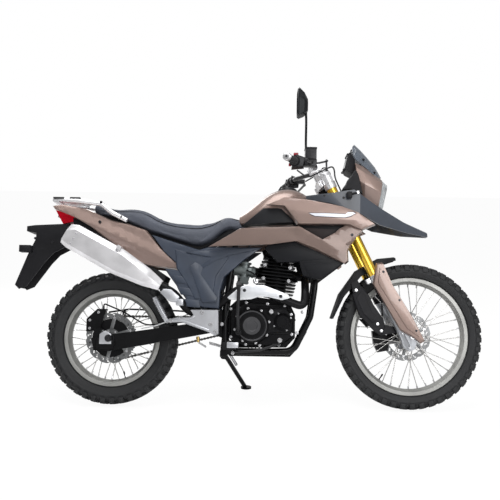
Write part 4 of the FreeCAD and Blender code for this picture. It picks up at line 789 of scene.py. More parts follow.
def finishes() -> dict[str, Finish]:
    """Each finish by name: the record's material slots first, then those of small parts.

    Returns:
        The finishes by name.
    """
    centres = {
        "front": BIKE @ Vector((WHEELBASE, 0.0, FRONT_AXLE_HEIGHT)),
        "rear": BIKE @ Vector((0.0, 0.0, REAR_AXLE_HEIGHT)),
    }
    black = (0.014, 0.014, 0.016)
    made = [
        Tread("tyre_rubber", (0.0105, 0.011, 0.0125), 0.62, centre=tuple(centres["rear"])),
        Tread("front_tyre_rubber", (0.0105, 0.011, 0.0125), 0.62, centre=tuple(centres["front"])),
        Finish("rim_alloy", (0.40, 0.40, 0.385), 0.5, 0.7, grain_scale=1500.0),
        Finish("spoke_steel", (0.62, 0.61, 0.60), 0.26, 1.0),
        Finish("hub_alloy", (0.20, 0.205, 0.215), 0.42, 0.9),
        Finish("disc_steel", (0.25, 0.255, 0.26), 0.38, 0.9, grain_scale=400.0, stretch=(1.0, 8.0, 1.0)),
        Finish("sprocket_steel", (0.16, 0.16, 0.165), 0.42, 0.9),
        Finish("fork_gold", (0.90, 0.56, 0.05), 0.22, 0.8, tone=0.03, coat=0.5, grain_depth=0.000004),
        Finish("fork_alloy", (0.34, 0.35, 0.37), 0.38, 0.9),
        FlakePaint("bronze_paint", (0.262, 0.188, 0.163), 0.32, 0.6, 0.6, tone=0.05),
        # Darker copy of the same bronze paint, as painted shade on the lower shrouds and their lips, which
        # face down away from the lamps.
        FlakePaint("bronze_painted_shade", (0.172, 0.122, 0.105), 0.34, 0.55, 0.5, tone=0.05),
        # The beak's own grey plastic, lifted lighter than the dark panels, partly as painted light on its lit
        # top.
        Finish(
            "beak_painted_light_plastic", (0.050, 0.058, 0.074), 0.36, coat=0.3, grain_scale=1300.0, grain_depth=0.00008,
        ),
        Finish("dark_plastic", (0.030, 0.040, 0.062), 0.42, coat=0.1, grain_scale=1300.0, grain_depth=0.0001),
        Finish(
            "black_plastic", (0.010, 0.010, 0.012), 0.5, grain_scale=1300.0, grain_depth=0.0001,
            specular=0.22,
        ),
        Finish("yoke_alloy", (0.86, 0.86, 0.88), 0.32, 0.75),
        Finish("bar_black", black, 0.32, 0.3, 0.3),
        Finish("grip_rubber", (0.016, 0.016, 0.017), 0.75, grain_scale=260.0, grain_depth=0.0006),
        Finish("bar_end_alloy", (0.72, 0.72, 0.73), 0.26, 1.0),
        Finish("frame_black", (0.009, 0.009, 0.010), 0.34, 0.5, 0.08, specular=0.2),
        Finish("engine_black", (0.008, 0.008, 0.009), 0.42, 0.5, grain_scale=500.0, specular=0.16),
        Finish("carburettor_alloy", (0.20, 0.225, 0.225), 0.5, 0.8, grain_depth=0.0002),
        Finish("pipe_black", (0.011, 0.011, 0.012), 0.4, 0.6, specular=0.2),
        Finish("muffler_steel", (0.86, 0.85, 0.87), 0.36, 0.85, grain_scale=240.0, stretch=(0.4, 1.0, 9.0)),
        Finish("shield_alloy", (0.86, 0.88, 0.92), 0.34, 0.6),
        SeatCloth("seat_cover", (0.064, 0.072, 0.094), 0.58, grain_depth=0.0002),
        Finish("rack_alloy", (0.88, 0.88, 0.90), 0.32, 0.6),
        Clear("lamp_red", (0.72, 0.003, 0.02), 0.34, 0.8, alpha=1.0, ribs=0.004),
        Clear("lamp_clear", (0.42, 0.45, 0.47), 0.1, coat=0.8, alpha=0.62),
        Clear("screen_smoke", (0.115, 0.135, 0.165), 0.08, coat=0.8, alpha=0.7),
        Finish("chain_steel", (0.15, 0.145, 0.14), 0.4, 1.0, dust=0.1),
        Finish("mirror_black", (0.008, 0.010, 0.012), 0.5, 0.5, grain_depth=0.00002),
        Finish("lever_steel", (0.02, 0.02, 0.022), 0.36, 0.5),
        Finish("peg_alloy", (0.58, 0.59, 0.62), 0.38, 0.8, grain_depth=0.0001),
        Finish("cap_black", black, 0.3, 0.4),
        Finish("cable_black", black, 0.45, grain_depth=0.0001),
        Finish("bolt_steel", (0.70, 0.70, 0.72), 0.26, 1.0),
        Finish("dark_bolt", (0.05, 0.05, 0.055), 0.35, 0.9),
        Finish("brass", (0.62, 0.44, 0.16), 0.34, 1.0),
        Finish("stripe_white", (0.80, 0.81, 0.88), 0.3, coat=0.4, tone=0.03),
        # Near-black brown, used twice: the printed outline round the stripe, and painted shade on the sheet
        # behind the lower shroud's vented notch.
        Finish("stripe_outline_and_recess_shade", (0.014, 0.006, 0.006), 0.6, grain_depth=0.0001),
        Finish("switch_red", (0.24, 0.008, 0.016), 0.4, tone=0.05),
        Finish("cable_yellow", (0.72, 0.60, 0.03), 0.4, tone=0.05),
        Finish("glass_mirror", (0.82, 0.84, 0.86), 0.04, 1.0, tone=0.02, grain_depth=0.000005),
        Finish("display_glass", (0.02, 0.024, 0.03), 0.08, coat=0.8, tone=0.1),
        Clear("lamp_amber", (0.75, 0.24, 0.01), 0.16, coat=0.5, alpha=0.95, ribs=0.003),
        Finish("spring_steel", (0.05, 0.05, 0.055), 0.34, 0.6, 0.3),
        # Near-black copy of the dark plastic, as painted shade on the lower panels and their facets, which
        # sit in shadow under the shrouds.
        Finish(
            "plastic_painted_shade", (0.007, 0.0075, 0.0095), 0.44, grain_scale=1300.0, grain_depth=0.0001,
            specular=0.2,
        ),
        Finish("cover_ring", (0.09, 0.09, 0.095), 0.34, 0.9),
        Finish("sheath_silver", (0.62, 0.63, 0.64), 0.34, 0.8),
    ]
    return {finish.name: finish for finish in made}


class Dresser:
    """Gives each CAD node a finished copy, and every new piece its finish, body and slot."""

    def __init__(self) -> None:
        """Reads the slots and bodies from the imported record."""
        record = frame["record"]
        self.slot_of: dict[str, str] = {item["node"]: item["material_slot"] for item in record["subparts"]}
        self.body_of: dict[str, Body] = {
            node: Body(body) for body, nodes in record["behaviour"]["bodies"].items() for node in nodes
        }
        self.finishes = finishes()
        self.made: dict[str, bpy.types.Material] = {}
        self.dressed: set[str] = set()

    def material(self, name: str) -> bpy.types.Material:
        """The material of a finish, built once.

        Args:
            name: the finish's name.

        Returns:
            The material.
        """
        if name not in self.made:
            self.made[name] = self.finishes[name].material()
        return self.made[name]

    def add(
        self,
        name: str,
        shape: Shape,
        near: str,
        finish: Optional[str] = None,
        place: Matrix = BIKE,
        replaces: bool = False,
        sharp: float = 35.0,
        bevel: float = 0.0,
    ) -> bpy.types.Object:
        """Turns a shape into a finished piece of the machine.

        Args:
            name: the piece's name.
            shape: its form, in millimetres of its setting.
            near: the CAD node that it belongs to, whose body it rides and whose slot it takes.
            finish: the finish, where it isn't the slot's own.
            place: from its setting to the part's frame in metres.
            replaces: whether it stands for that node.
            sharp: edges above this angle, in degrees, stay sharp.
            bevel: width of rounded edges, in metres.

        Returns:
            The new object.
        """
        shape.moved(place)
        data = bpy.data.meshes.new(name)
        shape.mesh.to_mesh(data)
        shape.mesh.free()
        data.polygons.foreach_set("use_smooth", [True] * len(data.polygons))
        data.set_sharp_from_angle(angle=math.radians(sharp))
        slot = self.slot_of[near]
        data.materials.append(self.material(finish or slot))
        piece = bpy.data.objects.new(name, data)
        bpy.context.scene.collection.objects.link(piece)
        if bevel:
            edge = piece.modifiers.new("Edge", "BEVEL")
            edge.width, edge.segments, edge.limit_method = bevel, 2, "ANGLE"
            edge.angle_limit, edge.harden_normals = math.radians(sharp), True
        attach(piece, self.body_of[near].value)
        if replaces:
            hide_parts(near)
            self.dressed.add(near)
        LOG.info("piece %s on %s", name, self.body_of[near].value)
        return piece

    def copy_of(self, node: str) -> Shape:
        """A merged copy of a CAD node's mesh in the upright bike's millimetres, its flat faces joined.

        Args:
            node: the node's name.

        Returns:
            The merged copy.
        """
        shape = Shape()
        shape.mesh.from_mesh(frame["nodes"][node].data)
        shape.moved(BIKE.inverted())
        bmesh.ops.remove_doubles(shape.mesh, verts=shape.mesh.verts, dist=0.01)
        bmesh.ops.dissolve_limit(
            shape.mesh, angle_limit=math.radians(0.6), verts=shape.mesh.verts, edges=shape.mesh.edges
        )
        return shape

    def skin(
        self, node: str, bevel: float = 0.0009, sharp: float = 35.0, finish: Optional[str] = None,
    ) -> None:
        """A CAD node's own shape with softened edges and its finish."""
        self.add(f"{node}_form", self.copy_of(node), node, finish, replaces=True, sharp=sharp, bevel=bevel)

    def skin_rest(self) -> None:
        """Skins every node that no sub-assembly has dressed."""
        for node in sorted(set(frame["nodes"]) - self.dressed):
            self.skin(node)


@dataclass
class Wheel:
    """Tyre with tread blocks, rim trim, brake disc and hub fasteners of one wheel."""

    end: str
    centre: Point
    tip: float
    wide: float
    bead: float
    rim_width: float
    lug: float
    pitches: int
    disc_side: float
    disc_radius: float = 120.0
    spokes: int = 36
    valve_at: float = 0.0

    @property
    def place(self) -> Matrix:
        """The wheel's own setting: millimetres from its centre, Y along the axle."""
        return BIKE @ Matrix.Translation(self.centre)

    def carcass(self) -> Shape:
        """The rounded casing under the tread, with a rim guard bead on each side.

        Returns:
            The finished shape.
        """
        crown, half = self.tip - self.lug, self.wide / 2
        seat = self.rim_width / 2 - 3.3
        rise = crown - self.bead
        side = [
            (self.bead + 0.3, seat), (self.bead + 15.5, seat + 0.6), (self.bead + 18, seat + 5),
            (self.bead + 20, half * 0.74), (self.bead + 23, half * 0.76),
            (self.bead + rise * 0.42, half * 0.86),
            (self.bead + rise * 0.58, half * 0.9), (self.bead + rise * 0.62, half * 0.925),
            (self.bead + rise * 0.66, half * 0.91), (crown - 14, half * 0.85), (crown - 7, half * 0.68),
            (crown - 3, half * 0.46), (crown - 0.5, half * 0.2),
        ]
        profile = side + [(radius, -across) for radius, across in reversed(side)]
        return Shape.turned(profile, 120, ring=True).moved(Matrix.Rotation(math.pi / 2, 4, "X"))

    def tread(self) -> Shape:
        """Two staggered centre rows and a shoulder row on each side.

        Returns:
            The finished shape.
        """
        crown, half = self.tip - self.lug, self.wide / 2
        pitch = 2 * math.pi / self.pitches
        length = self.tip * pitch
        middle = [
            (1.8, crown - 5), (half * 0.4, crown - 6), (half * 0.36, self.tip - 1.2), (2.6, self.tip - 0.5),
        ]
        outer = [
            (half * 0.5, crown - 8), (half * 0.54, self.tip - 1.5), (half * 0.8, self.tip - 5),
            (half * 0.98, crown - 6), (half, crown - 22), (half * 0.82, crown - 24),
        ]
        blocks = Shape()
        for outline, share, turns in ((middle, 0.56, (0.0, 0.5)), (outer, 0.5, (0.25, 0.75))):
            for side, turn in zip((1, -1), turns):
                corners = [(-length * share / 2, side * across, up) for across, up in outline]
                block = Shape.prism(corners, (length * share, 0.0, 0.0), 1.3)
                blocks.take(block, Matrix.Rotation(pitch * turn, 4, "Y"))
        return blocks.repeated(self.pitches)

    def nipples(self) -> Shape:
        """Spoke nipples in the rim bed.

        Returns:
            The finished shape.
        """
        seat = self.bead - 17.2
        one = Shape.turned([(0, 0), (3.6, 0), (3.6, -7), (2.8, -13), (0, -13)], 8)
        return one.moved(Matrix.Translation((0, 3, seat))).repeated(self.spokes)

    def valve(self) -> Shape:
        """Tyre valve with its cap, pointing at the axle."""
        stem = Shape.turned(
            [(0, 6), (5.5, 6), (5.5, 0), (3, -2), (3, -18), (4, -18.5), (4, -28), (2.8, -30), (0, -30)], 12,
        )
        return stem.moved(Matrix.Rotation(self.valve_at, 4, "Y") @ Matrix.Translation((0, 0, self.bead - 18)))

    def disc(self) -> Shape:
        """Wave-edged band with slots right through it, slanted arms and a centre ring.

        Returns:
            The finished shape.
        """
        steps, waves, wave_depth, wave_from = 144, 12, 5.5, 112
        radii = [92, 97, 101, 105, 109, 113, self.disc_radius]
        band = Shape.turned([(radius, 0.0) for radius in radii], steps)
        holes = []
        for face in band.mesh.faces:
            middle = face.calc_center_median()
            row = round((middle.to_2d().length - 95) / 4)
            step = math.floor(math.atan2(middle.y, middle.x) / (2 * math.pi) * steps) % 12
            if (row, step) in (
                (1, 2), (1, 3), (2, 3), (2, 4), (3, 4), (1, 8), (2, 8), (3, 9), (4, 9), (4, 10),
            ):
                holes.append(face)
        bmesh.ops.delete(band.mesh, geom=holes, context="FACES")
        for vert in band.mesh.verts:
            reach = vert.co.to_2d().length
            if reach > self.disc_radius - 8:
                dip = wave_depth * max(0.0, math.cos(waves * math.atan2(vert.co.y, vert.co.x))) ** 2
                vert.co *= (reach - dip * (reach - wave_from) / 8) / reach if reach > wave_from else 1.0
        band.slab(4.0).moved(Matrix.Rotation(math.pi / 2, 4, "X"))
        arms = Shape.plate([(-9, 38), (9, 38), (22, 97), (6, 97)], -2.2, 2.2, 1.0)
        centre = Shape.turned([(20.5, -2), (44, -2), (44, 2), (20.5, 2)], 48, ring=True)
        arms.repeated(6).take(centre, Matrix.Rotation(math.pi / 2, 4, "X"))
        return band.take(arms).moved(Matrix.Translation((0, self.disc_side, 0)))

    def bobbins(self) -> Shape:
        """Rivets of the floating disc and bolts of its carrier.

        Returns:
            The finished shape.
        """
        side = Axis.LEFT if self.disc_side > 0 else Axis.RIGHT
        face = self.disc_side + math.copysign(2.0, self.disc_side)
        rivet = Shape.turned([(0, -5), (6.5, -5), (6.5, 1), (5, 2.4), (2.5, 2.4), (2, 0.5), (0, 0.5)], 16)
        rivet.moved(facing((13, face, 96), side))
        rivet.take(Shape.bolt(4.5, 5.0), facing((18, face, 27), side))
        return rivet.repeated(6)

    def build(self, dresser: Dresser) -> None:
        """Makes and dresses the wheel.

        Args:
            dresser: puts the pieces on the frame.
        """
        tyre, rim, disc = f"{self.end}_tyre", f"{self.end}_rim", f"{self.end}_disc"
        rubber = "front_tyre_rubber" if self.end == "front" else None
        dresser.add(
            f"{tyre}_casing", self.carcass().take(self.tread()), tyre, rubber, self.place, replaces=True,
        )
        dresser.skin(rim, 0.0014)
        dresser.skin(f"{self.end}_spokes", 0.0, sharp=70.0)
        dresser.skin(f"{self.end}_hub", 0.0016)
        dresser.add(f"{self.end}_nipples", self.nipples(), rim, "bolt_steel", self.place)
        dresser.add(f"{self.end}_valve", self.valve(), rim, "black_plastic", self.place)
        dresser.add(f"{disc}_band", self.disc(), disc, None, self.place, replaces=True)
        dresser.add(f"{disc}_bobbins", self.bobbins(), disc, "bolt_steel", self.place)


@dataclass
class FinalDrive:
    """Rear sprocket and the roller chain round both sprockets."""

    rear: tuple[float, float] = (0.0, REAR_AXLE_HEIGHT)
    front: tuple[float, float] = (566.0, 388.0)
    side: float = 70.0
    big: float = 105.8
    small: float = 36.0
    pitch: float = 15.875

    def sprocket(self) -> Shape:
        """Toothed ring, lightened between its arms.

        Returns:
            The finished shape.
        """
        teeth = 42
        plate = Shape.turned([(radius, 0.0) for radius in (22.5, 48, 58, 84, 92, 97, 104)], teeth * 4)
        holes = []
        for face in plate.mesh.faces:
            middle = face.calc_center_median()
            turn = math.degrees(math.atan2(middle.y, middle.x)) % 60
            if 58 < middle.to_2d().length < 84 and 14 < turn < 46:
                holes.append(face)
        bmesh.ops.delete(plate.mesh, geom=holes, context="FACES")
        for vert in plate.mesh.verts:
            if vert.co.length > 100:
                tooth = math.cos(teeth * math.atan2(vert.co.y, vert.co.x) + 0.8)
                vert.co *= (101 + 6 * tooth) / vert.co.length
        plate.slab(7.0).moved(Matrix.Rotation(math.pi / 2, 4, "X")).moved(
            Matrix.Translation((0, self.side, 0))
        )
        nut = Shape.nut(6.0, 6.0, 2.0).moved(facing((0, self.side + 3.4, 36), Axis.LEFT))
        return plate.take(nut.repeated(6))

    def at(self, travel: float) -> tuple[Vector, float]:
        """Point in the plane of the chain and heading there, from the top run's start at the rear.

        Args:
            travel: distance along the loop.

        Returns:
            The point, and the heading in radians.
        """
        rear, gap = Vector(self.rear), Vector(self.front) - Vector(self.rear)
        heading = math.atan2(gap.y, gap.x)
        spread = math.asin((self.big - self.small) / gap.length)
        run, around = self.run, self.small * (math.pi - 2 * spread)
        upper, lower = heading + math.pi / 2 - spread, heading - math.pi / 2 + spread
        if travel < run:
            way = heading - spread
            return rear + self.big * polar(upper) + travel * polar(way), way
        travel -= run
        if travel < around:
            angle = upper - travel / self.small
            return Vector(self.front) + self.small * polar(angle), angle - math.pi / 2
        travel -= around
        if travel < run:
            way = heading + math.pi + spread
            start = Vector(self.front) + self.small * polar(lower)
            return start + travel * polar(way), way
        angle = lower - (travel - run) / self.big
        return rear + self.big * polar(angle), angle - math.pi / 2

    @property
    def run(self) -> float:
        """Length of one straight run."""
        gap = (Vector(self.front) - Vector(self.rear)).length
        return math.sqrt(gap**2 - (self.big - self.small) ** 2)

    @property
    def length(self) -> float:
        """The whole loop.

        Returns:
            The length.
        """
        gap = (Vector(self.front) - Vector(self.rear)).length
        spread = math.asin((self.big - self.small) / gap)
        return 2 * self.run + self.big * (math.pi + 2 * spread) + self.small * (math.pi - 2 * spread)

    def chain(self) -> Shape:
        """Every link with two waisted plates, its roller and its pin.

        Returns:
            The finished shape.
        """
        count = round(self.length / self.pitch / 2) * 2
        step = self.length / count
        waist = [
            (-6.5, 0), (-4.6, 4.6), (0, 6.2), (4, 4.4), (step / 2, 3.9), (step - 4, 4.4), (step, 6.2),
            (step + 4.6, 4.6), (step + 6.5, 0),
        ]
        outline = waist + [(x, -z) for x, z in reversed(waist[1:-1])]
        loop = Shape()
        for index in range(count):
            (start, _), (end, _) = self.at(index * step), self.at((index + 1) * step % self.length)
            way = end - start
            place = Matrix.Translation((start.x, self.side, start.y)) @ Matrix.Rotation(
                -math.atan2(way.y, way.x), 4, "Y",
            )
            near = 4.6 if index % 2 else 6.6
            for low in (-near - 1.9, near):
                loop.take(Shape.plate(outline, low, low + 1.9, 0.0), place)
            roller = Shape.turned([(0, -4.5), (5, -4.5), (5, 4.5), (0, 4.5)], 10)
            roller.take(Shape.turned([(0, -8.6), (2.4, -8.6), (2.4, 8.6), (0, 8.6)], 8))
            loop.take(roller, place @ Matrix.Rotation(math.pi / 2, 4, "X"))
        return loop

    def build(self, dresser: Dresser) -> None:
        """Makes and dresses the drive.

        Args:
            dresser: puts the pieces on the frame.
        """
        axle = BIKE @ Matrix.Translation((0, 0, REAR_AXLE_HEIGHT))
        dresser.add("sprocket_teeth", self.sprocket(), "rear_sprocket", None, axle, replaces=True)
        dresser.add("roller_chain", self.chain(), "drive_chain", None, replaces=True, sharp=50.0)


@dataclass
class ForkTrim:
    """Gaiters, clamps, caps and bolts of the fork, in the fork's own setting."""

    leg_ahead: float = 24.0
    spread: float = 100.0
    tube: float = 24.0
    top: float = 866.0
    slider_top: float = 334.0

    def leg(self, shape: Shape, height: float) -> Shape:
        """A turned part round both legs at one height."""
        return shape.moved(Matrix.Translation((self.leg_ahead, -self.spread, height))).both_sides()

    def gaiters(self) -> Shape:
        """Ribbed dust boots above the lower legs' guards.

        Returns:
            The finished shape.
        """
        profile = [(20.0, 0.0)]
        for index in range(9):
            base = index * 11.0
            profile += [
                (24.8, base + 1.5), (25.9, base + 3.5), (25.9, base + 6.0), (24.8, base + 8.0),
                (22.4, base + 9.5),
            ]
        profile += [(20.0, 100.0)]
        return self.leg(Shape.turned(profile, 28, ring=True), self.slider_top - 134)

    def wipers(self) -> Shape:
        """Bright clamp rings at the lower ends of the gold tubes, with their pinch lugs.

        Returns:
            The finished shape.
        """
        ring = Shape.turned([(24.2, 0), (25.4, 0), (26, 2), (26, 28), (25.4, 31), (24.2, 31)], 36, ring=True)
        ring.take(Shape.block((-46, -13, 3), (-24, 13, 27), 2.0))
        ring.take(Shape.bolt(4.2, 4.0), facing((-37, -13, 15), Axis.RIGHT))
        return self.leg(ring, self.slider_top - 29)

    def caps(self) -> Shape:
        """Fork caps with their adjusters.

        Returns:
            The finished shape.
        """
        profile = [
            (24.3, -34), (28, -34), (29, -32), (29, 6), (27, 9), (17, 9), (11, 9.5), (11, 24), (9.5, 27),
            (6, 27), (5.5, 24), (0, 24), (0, 0),
            (24.3, 0),
        ]
        collar = Shape.turned(
            [(24.3, -74), (27.5, -74), (28.5, -72), (28.5, -46), (24.3, -46)], 32, ring=True,
        )
        return self.leg(Shape.turned(profile, 32).take(collar), self.top + 0.4)

    def yoke_bolts(self) -> Shape:
        """Pinch bolts of both yokes, the stem nut and the handlebar clamp bolts.

        Returns:
            The finished shape.
        """
        bolts = Shape()
        for height in (self.top - 28, self.top - 252):
            for lift in (-9, 9):
                spot = (self.leg_ahead - 36, -self.spread - 9, height + lift)
                bolts.take(Shape.bolt(5.0, 6.0), facing(spot, Axis.RIGHT))
        for across in (-11, 11):
            for along in (-18, 18):
                bolts.take(Shape.bolt(4.0, 5.0), facing((5 + along, -40 + across, self.top + 78), Axis.UP))
        bolts.both_sides()
        return bolts.take(Shape.nut(17.0, 10.0, 0.5), facing((0, 0, self.top - 11), Axis.UP))

    def foot_bolts(self) -> Shape:
        """Axle ends and the pinch bolts under them.

        Returns:
            The finished shape.
        """
        ends = Shape.turned([(0, 0), (15, 0), (15, 5), (13, 7), (9, 7), (8.5, 3), (0, 3)], 6)
        ends.moved(facing((62, -self.spread - 17, 0), Axis.RIGHT))
        for height in (-40, 32):
            ends.take(
                Shape.bolt(4.0, 4.0), facing((self.leg_ahead + 2, -self.spread - 17, height), Axis.RIGHT),
            )
        return ends.both_sides()

    def guard_bolts(self) -> Shape:
        """Screws that hold the guards to the lower legs.

        Returns:
            The finished shape.
        """
        bolts = Shape()
        for ahead, height in ((66, 330), (76, 180), (84, 20)):
            bolts.take(Shape.bolt(4.0, 3.4), facing((ahead, -self.spread - 42.5, height), Axis.RIGHT))
        return bolts.both_sides()

    def build(self, dresser: Dresser) -> None:
        """Makes and dresses the fork's parts.

        Args:
            dresser: puts the pieces on the frame.
        """
        tube = Shape.turned(
            [
                (0, 0), (self.tube, 0), (self.tube, self.top - self.slider_top),
                (0, self.top - self.slider_top),
            ],
            64,
        )
        dresser.add(
            "fork_tube_pair", self.leg(tube, self.slider_top), "fork_tubes", None, FORK, replaces=True,
        )
        dresser.skin("fork_sliders", 0.0016)
        dresser.skin("fork_yokes", 0.0018)
        guards = dresser.copy_of("fork_guards")
        dresser.add(
            "fork_guard_shells", guards.rounded(1.6, 3, 12.0), "fork_guards", replaces=True, sharp=24.0,
        )
        dresser.add("fork_gaiters", self.gaiters(), "fork_sliders", "black_plastic", FORK)
        dresser.add("fork_wipers", self.wipers(), "fork_sliders", "yoke_alloy", FORK)
        dresser.add("fork_caps", self.caps(), "fork_yokes", None, FORK)
        dresser.add("yoke_bolts", self.yoke_bolts(), "fork_yokes", "bolt_steel", FORK)
        dresser.add("axle_ends", self.foot_bolts(), "fork_sliders", "bolt_steel", FORK)
        dresser.add("guard_bolts", self.guard_bolts(), "fork_guards", "dark_bolt", FORK)
        dresser.skin("fender_skirts", 0.0016, finish="black_plastic")
        skirts = Shape()
        for ahead, height in ((1262, 402), (1280, 370), (1301, 358), (1160, 560)):
            skirts.take(
                Shape.bolt(5.0, 4.0), facing((ahead, -76.5 if height > 380 else -74, height), Axis.RIGHT),
            )
        dresser.add("skirt_bolts", skirts, "fender_skirts", "bolt_steel")
        dresser.add(
            "front_caliper_pins", self.caliper_pins(), "front_caliper", "bolt_steel",
            BIKE @ Matrix.Translation((WHEELBASE, 0, FRONT_AXLE_HEIGHT)),
        )

    def caliper_pins(self) -> Shape:
        """Bolts, pad pin and bleed screw of the front caliper, from the axle.

        Returns:
            The finished shape.
        """
        pins = Shape()
        for ahead, height, radius in ((-104, 12, 5.5), (-104, -58, 5.5), (-146, -30, 4.0)):
            pins.take(Shape.bolt(radius, 5.0), facing((ahead, 72.5, height), Axis.LEFT))
        bleed = Shape.turned([(0, 0), (4, 0), (4, 6), (2.6, 7), (2.6, 14), (0, 14)], 10)
        return pins.take(bleed, facing((-128, 60, 24), Axis.UP))


@dataclass
class Controls:
    """Grips, bar ends, switches, brake reservoir and mirror glass."""

    end: Point = (-139.5, -400.0, 967.0)
    knee: Point = (-76.0, -185.0, 954.0)
    perch: float = 185.0

    @property
    def along(self) -> Matrix:
        """The right grip's setting: Z inwards from the bar's end."""
        return facing(self.end, Vector(self.knee) - Vector(self.end))

    def spot(self, reach: float) -> Vector:
        """A point on the bar, in the bike's millimetres."""
        return FORK_TURN @ (self.along @ Vector((0, 0, reach)))

    def grips(self) -> Shape:
        """Ribbed rubber grips.

        Returns:
            The finished shape.
        """
        profile = [(11.1, 2.0), (15.6, 2.0), (16.5, 3.4), (16.5, 9.0)]
        for index in range(17):
            base = 10.0 + index * 6.2
            profile += [(15.2, base), (15.2, base + 2.0), (16.5, base + 2.8), (16.5, base + 5.4)]
        profile += [(16.5, 118.0), (20.0, 121.0), (20.5, 123.0), (20.5, 126.0), (19.0, 127.0), (11.1, 127.0)]
        return Shape.turned(profile, 28, ring=True).moved(self.along).both_sides()

    def bar_ends(self) -> Shape:
        """Bar weights with a groove."""
        profile = [
            (0, -19.6), (12.5, -20), (17, -17.5), (18.5, -14), (18.5, -9), (16.4, -8), (16.4, -6), (18.5, -5),
            (18.5, -1.2), (17.5, -0.4), (0, -0.4),
        ]
        return Shape.turned(profile, 32).moved(self.along).both_sides()

    def end_screws(self) -> Shape:
        """Dark screws in the bar weights."""
        screw = Shape.turned([(0, -21), (4.6, -21), (5.6, -20), (5.6, -19), (0, -19)], 6)
        return screw.moved(self.along).both_sides()

    def buttons(self) -> Shape:
        """Switch rockers and buttons on both housings.

        Returns:
            The finished shape.
        """
        made = Shape()
        middle = self.spot(149.0)
        for x_range, z_range, depth in (
            ((-16, -2), (4, 16), 4), ((-16, -4), (-18, -6), 5), ((2, 18), (-4, 10), 3),
        ):
            low = (middle.x - 22 + x_range[0] + 16, middle.y - 12, middle.z + z_range[0])
            high = (middle.x - 22 + x_range[1] + 16, middle.y + 10, middle.z + z_range[1])
            made.take(Shape.block(low, high, 1.6), Matrix.Translation((-depth, 0, 0)))
        return made.both_sides()

    def kill_switch(self) -> Shape:
        """Red rocker on the right housing.

        Returns:
            The finished shape.
        """
        middle = self.spot(146.0)
        rocker = Shape.block(
            (middle.x - 8, middle.y - 12, middle.z + 27), (middle.x + 14, middle.y + 8, middle.z + 39), 2.4,
        )
        return rocker.take(
            Shape.block(
                (middle.x - 30, middle.y - 8, middle.z - 22), (middle.x - 18, middle.y + 8, middle.z - 10),
                2.0,
            )
        )

    def reservoir(self) -> Shape:
        """Lid of the front brake's reservoir with its flange.

        Returns:
            The finished shape.
        """
        centre = self.spot(self.perch)
        low, high = centre + Vector((33.5, -32.5, 60)), centre + Vector((90.5, 32.5, 68.5))
        return Shape.block(low, high, 3.8)

    def reservoir_bolts(self) -> Shape:
        """Lid screws, sight glass frame and perch bolts.

        Returns:
            The finished shape.
        """
        centre = self.spot(self.perch)
        made = Shape()
        for across in (-22, 22):
            made.take(Shape.bolt(3.2, 2.4), facing(centre + Vector((62, across, 68.5)), Axis.UP))
        for height in (-8, 8):
            made.take(Shape.bolt(3.6, 4.0), facing(centre + Vector((-16, 0, height)), Axis.BACK))
        return made

    def mirror_glass(self) -> Shape:
        """Silvered glass in the mirror's face.

        Returns:
            The finished shape.
        """
        at = (864.7, -345.0, 1383.0)
        corners = [(59, -46), (-52, -57), (-62, 18), (-46, 54), (35, 58), (62, 26)]
        return Shape.prism([(at[0] - 0.8, at[1] + y, at[2] + z) for y, z in corners], (2.0, 0, 0), 0.5)

    def mirror_rim(self) -> Shape:
        """Dark rim that stands proud round the glass.

        Returns:
            The finished shape.
        """
        at = (862.0, -345.0, 1383.0)
        corners = [
            (64, -20), (63, -50), (0, -57), (-55, -62), (-63, -30), (-66, 20), (-50, 58), (0, 61), (38, 62),
            (66, 28), (64, -20),
        ]
        return Shape.hose([(at[0], at[1] + y, at[2] + z) for y, z in corners], 3.6)

    def build(self, dresser: Dresser) -> None:
        """Makes and dresses the controls.

        Args:
            dresser: puts the pieces on the frame.
        """
        dresser.skin("handlebar", 0.0)
        dresser.add(
            "bar_control_housings", dresser.copy_of("bar_controls").rounded(6.0, 4), "bar_controls",
            replaces=True,
        )
        dresser.skin("mirror", 0.0022)
        dresser.skin("control_cables", 0.0)
        dresser.add("ribbed_grips", self.grips(), "grips", None, FORK, replaces=True)
        dresser.add("bar_weights", self.bar_ends(), "bar_ends", None, FORK, replaces=True)
        dresser.add("bar_end_screws", self.end_screws(), "bar_ends", "dark_bolt", FORK)
        dresser.add("switch_buttons", self.buttons(), "bar_controls", "cap_black")
        dresser.add("kill_switch", self.kill_switch(), "bar_controls", "switch_red")
        dresser.add("reservoir_lid", self.reservoir(), "bar_controls", "black_plastic")
        dresser.add("reservoir_bolts", self.reservoir_bolts(), "bar_controls", "bolt_steel")
        dresser.add("mirror_glass", self.mirror_glass(), "mirror", "glass_mirror")
        dresser.add("mirror_rim", self.mirror_rim(), "mirror")
        sleeve = Shape.hose([(858, 251, 1112), (862, 244, 1098), (872, 236, 1086), (884, 226, 1078)], 4.6)
        dresser.add("left_loom_sleeve", sleeve, "bar_controls", "cable_yellow")


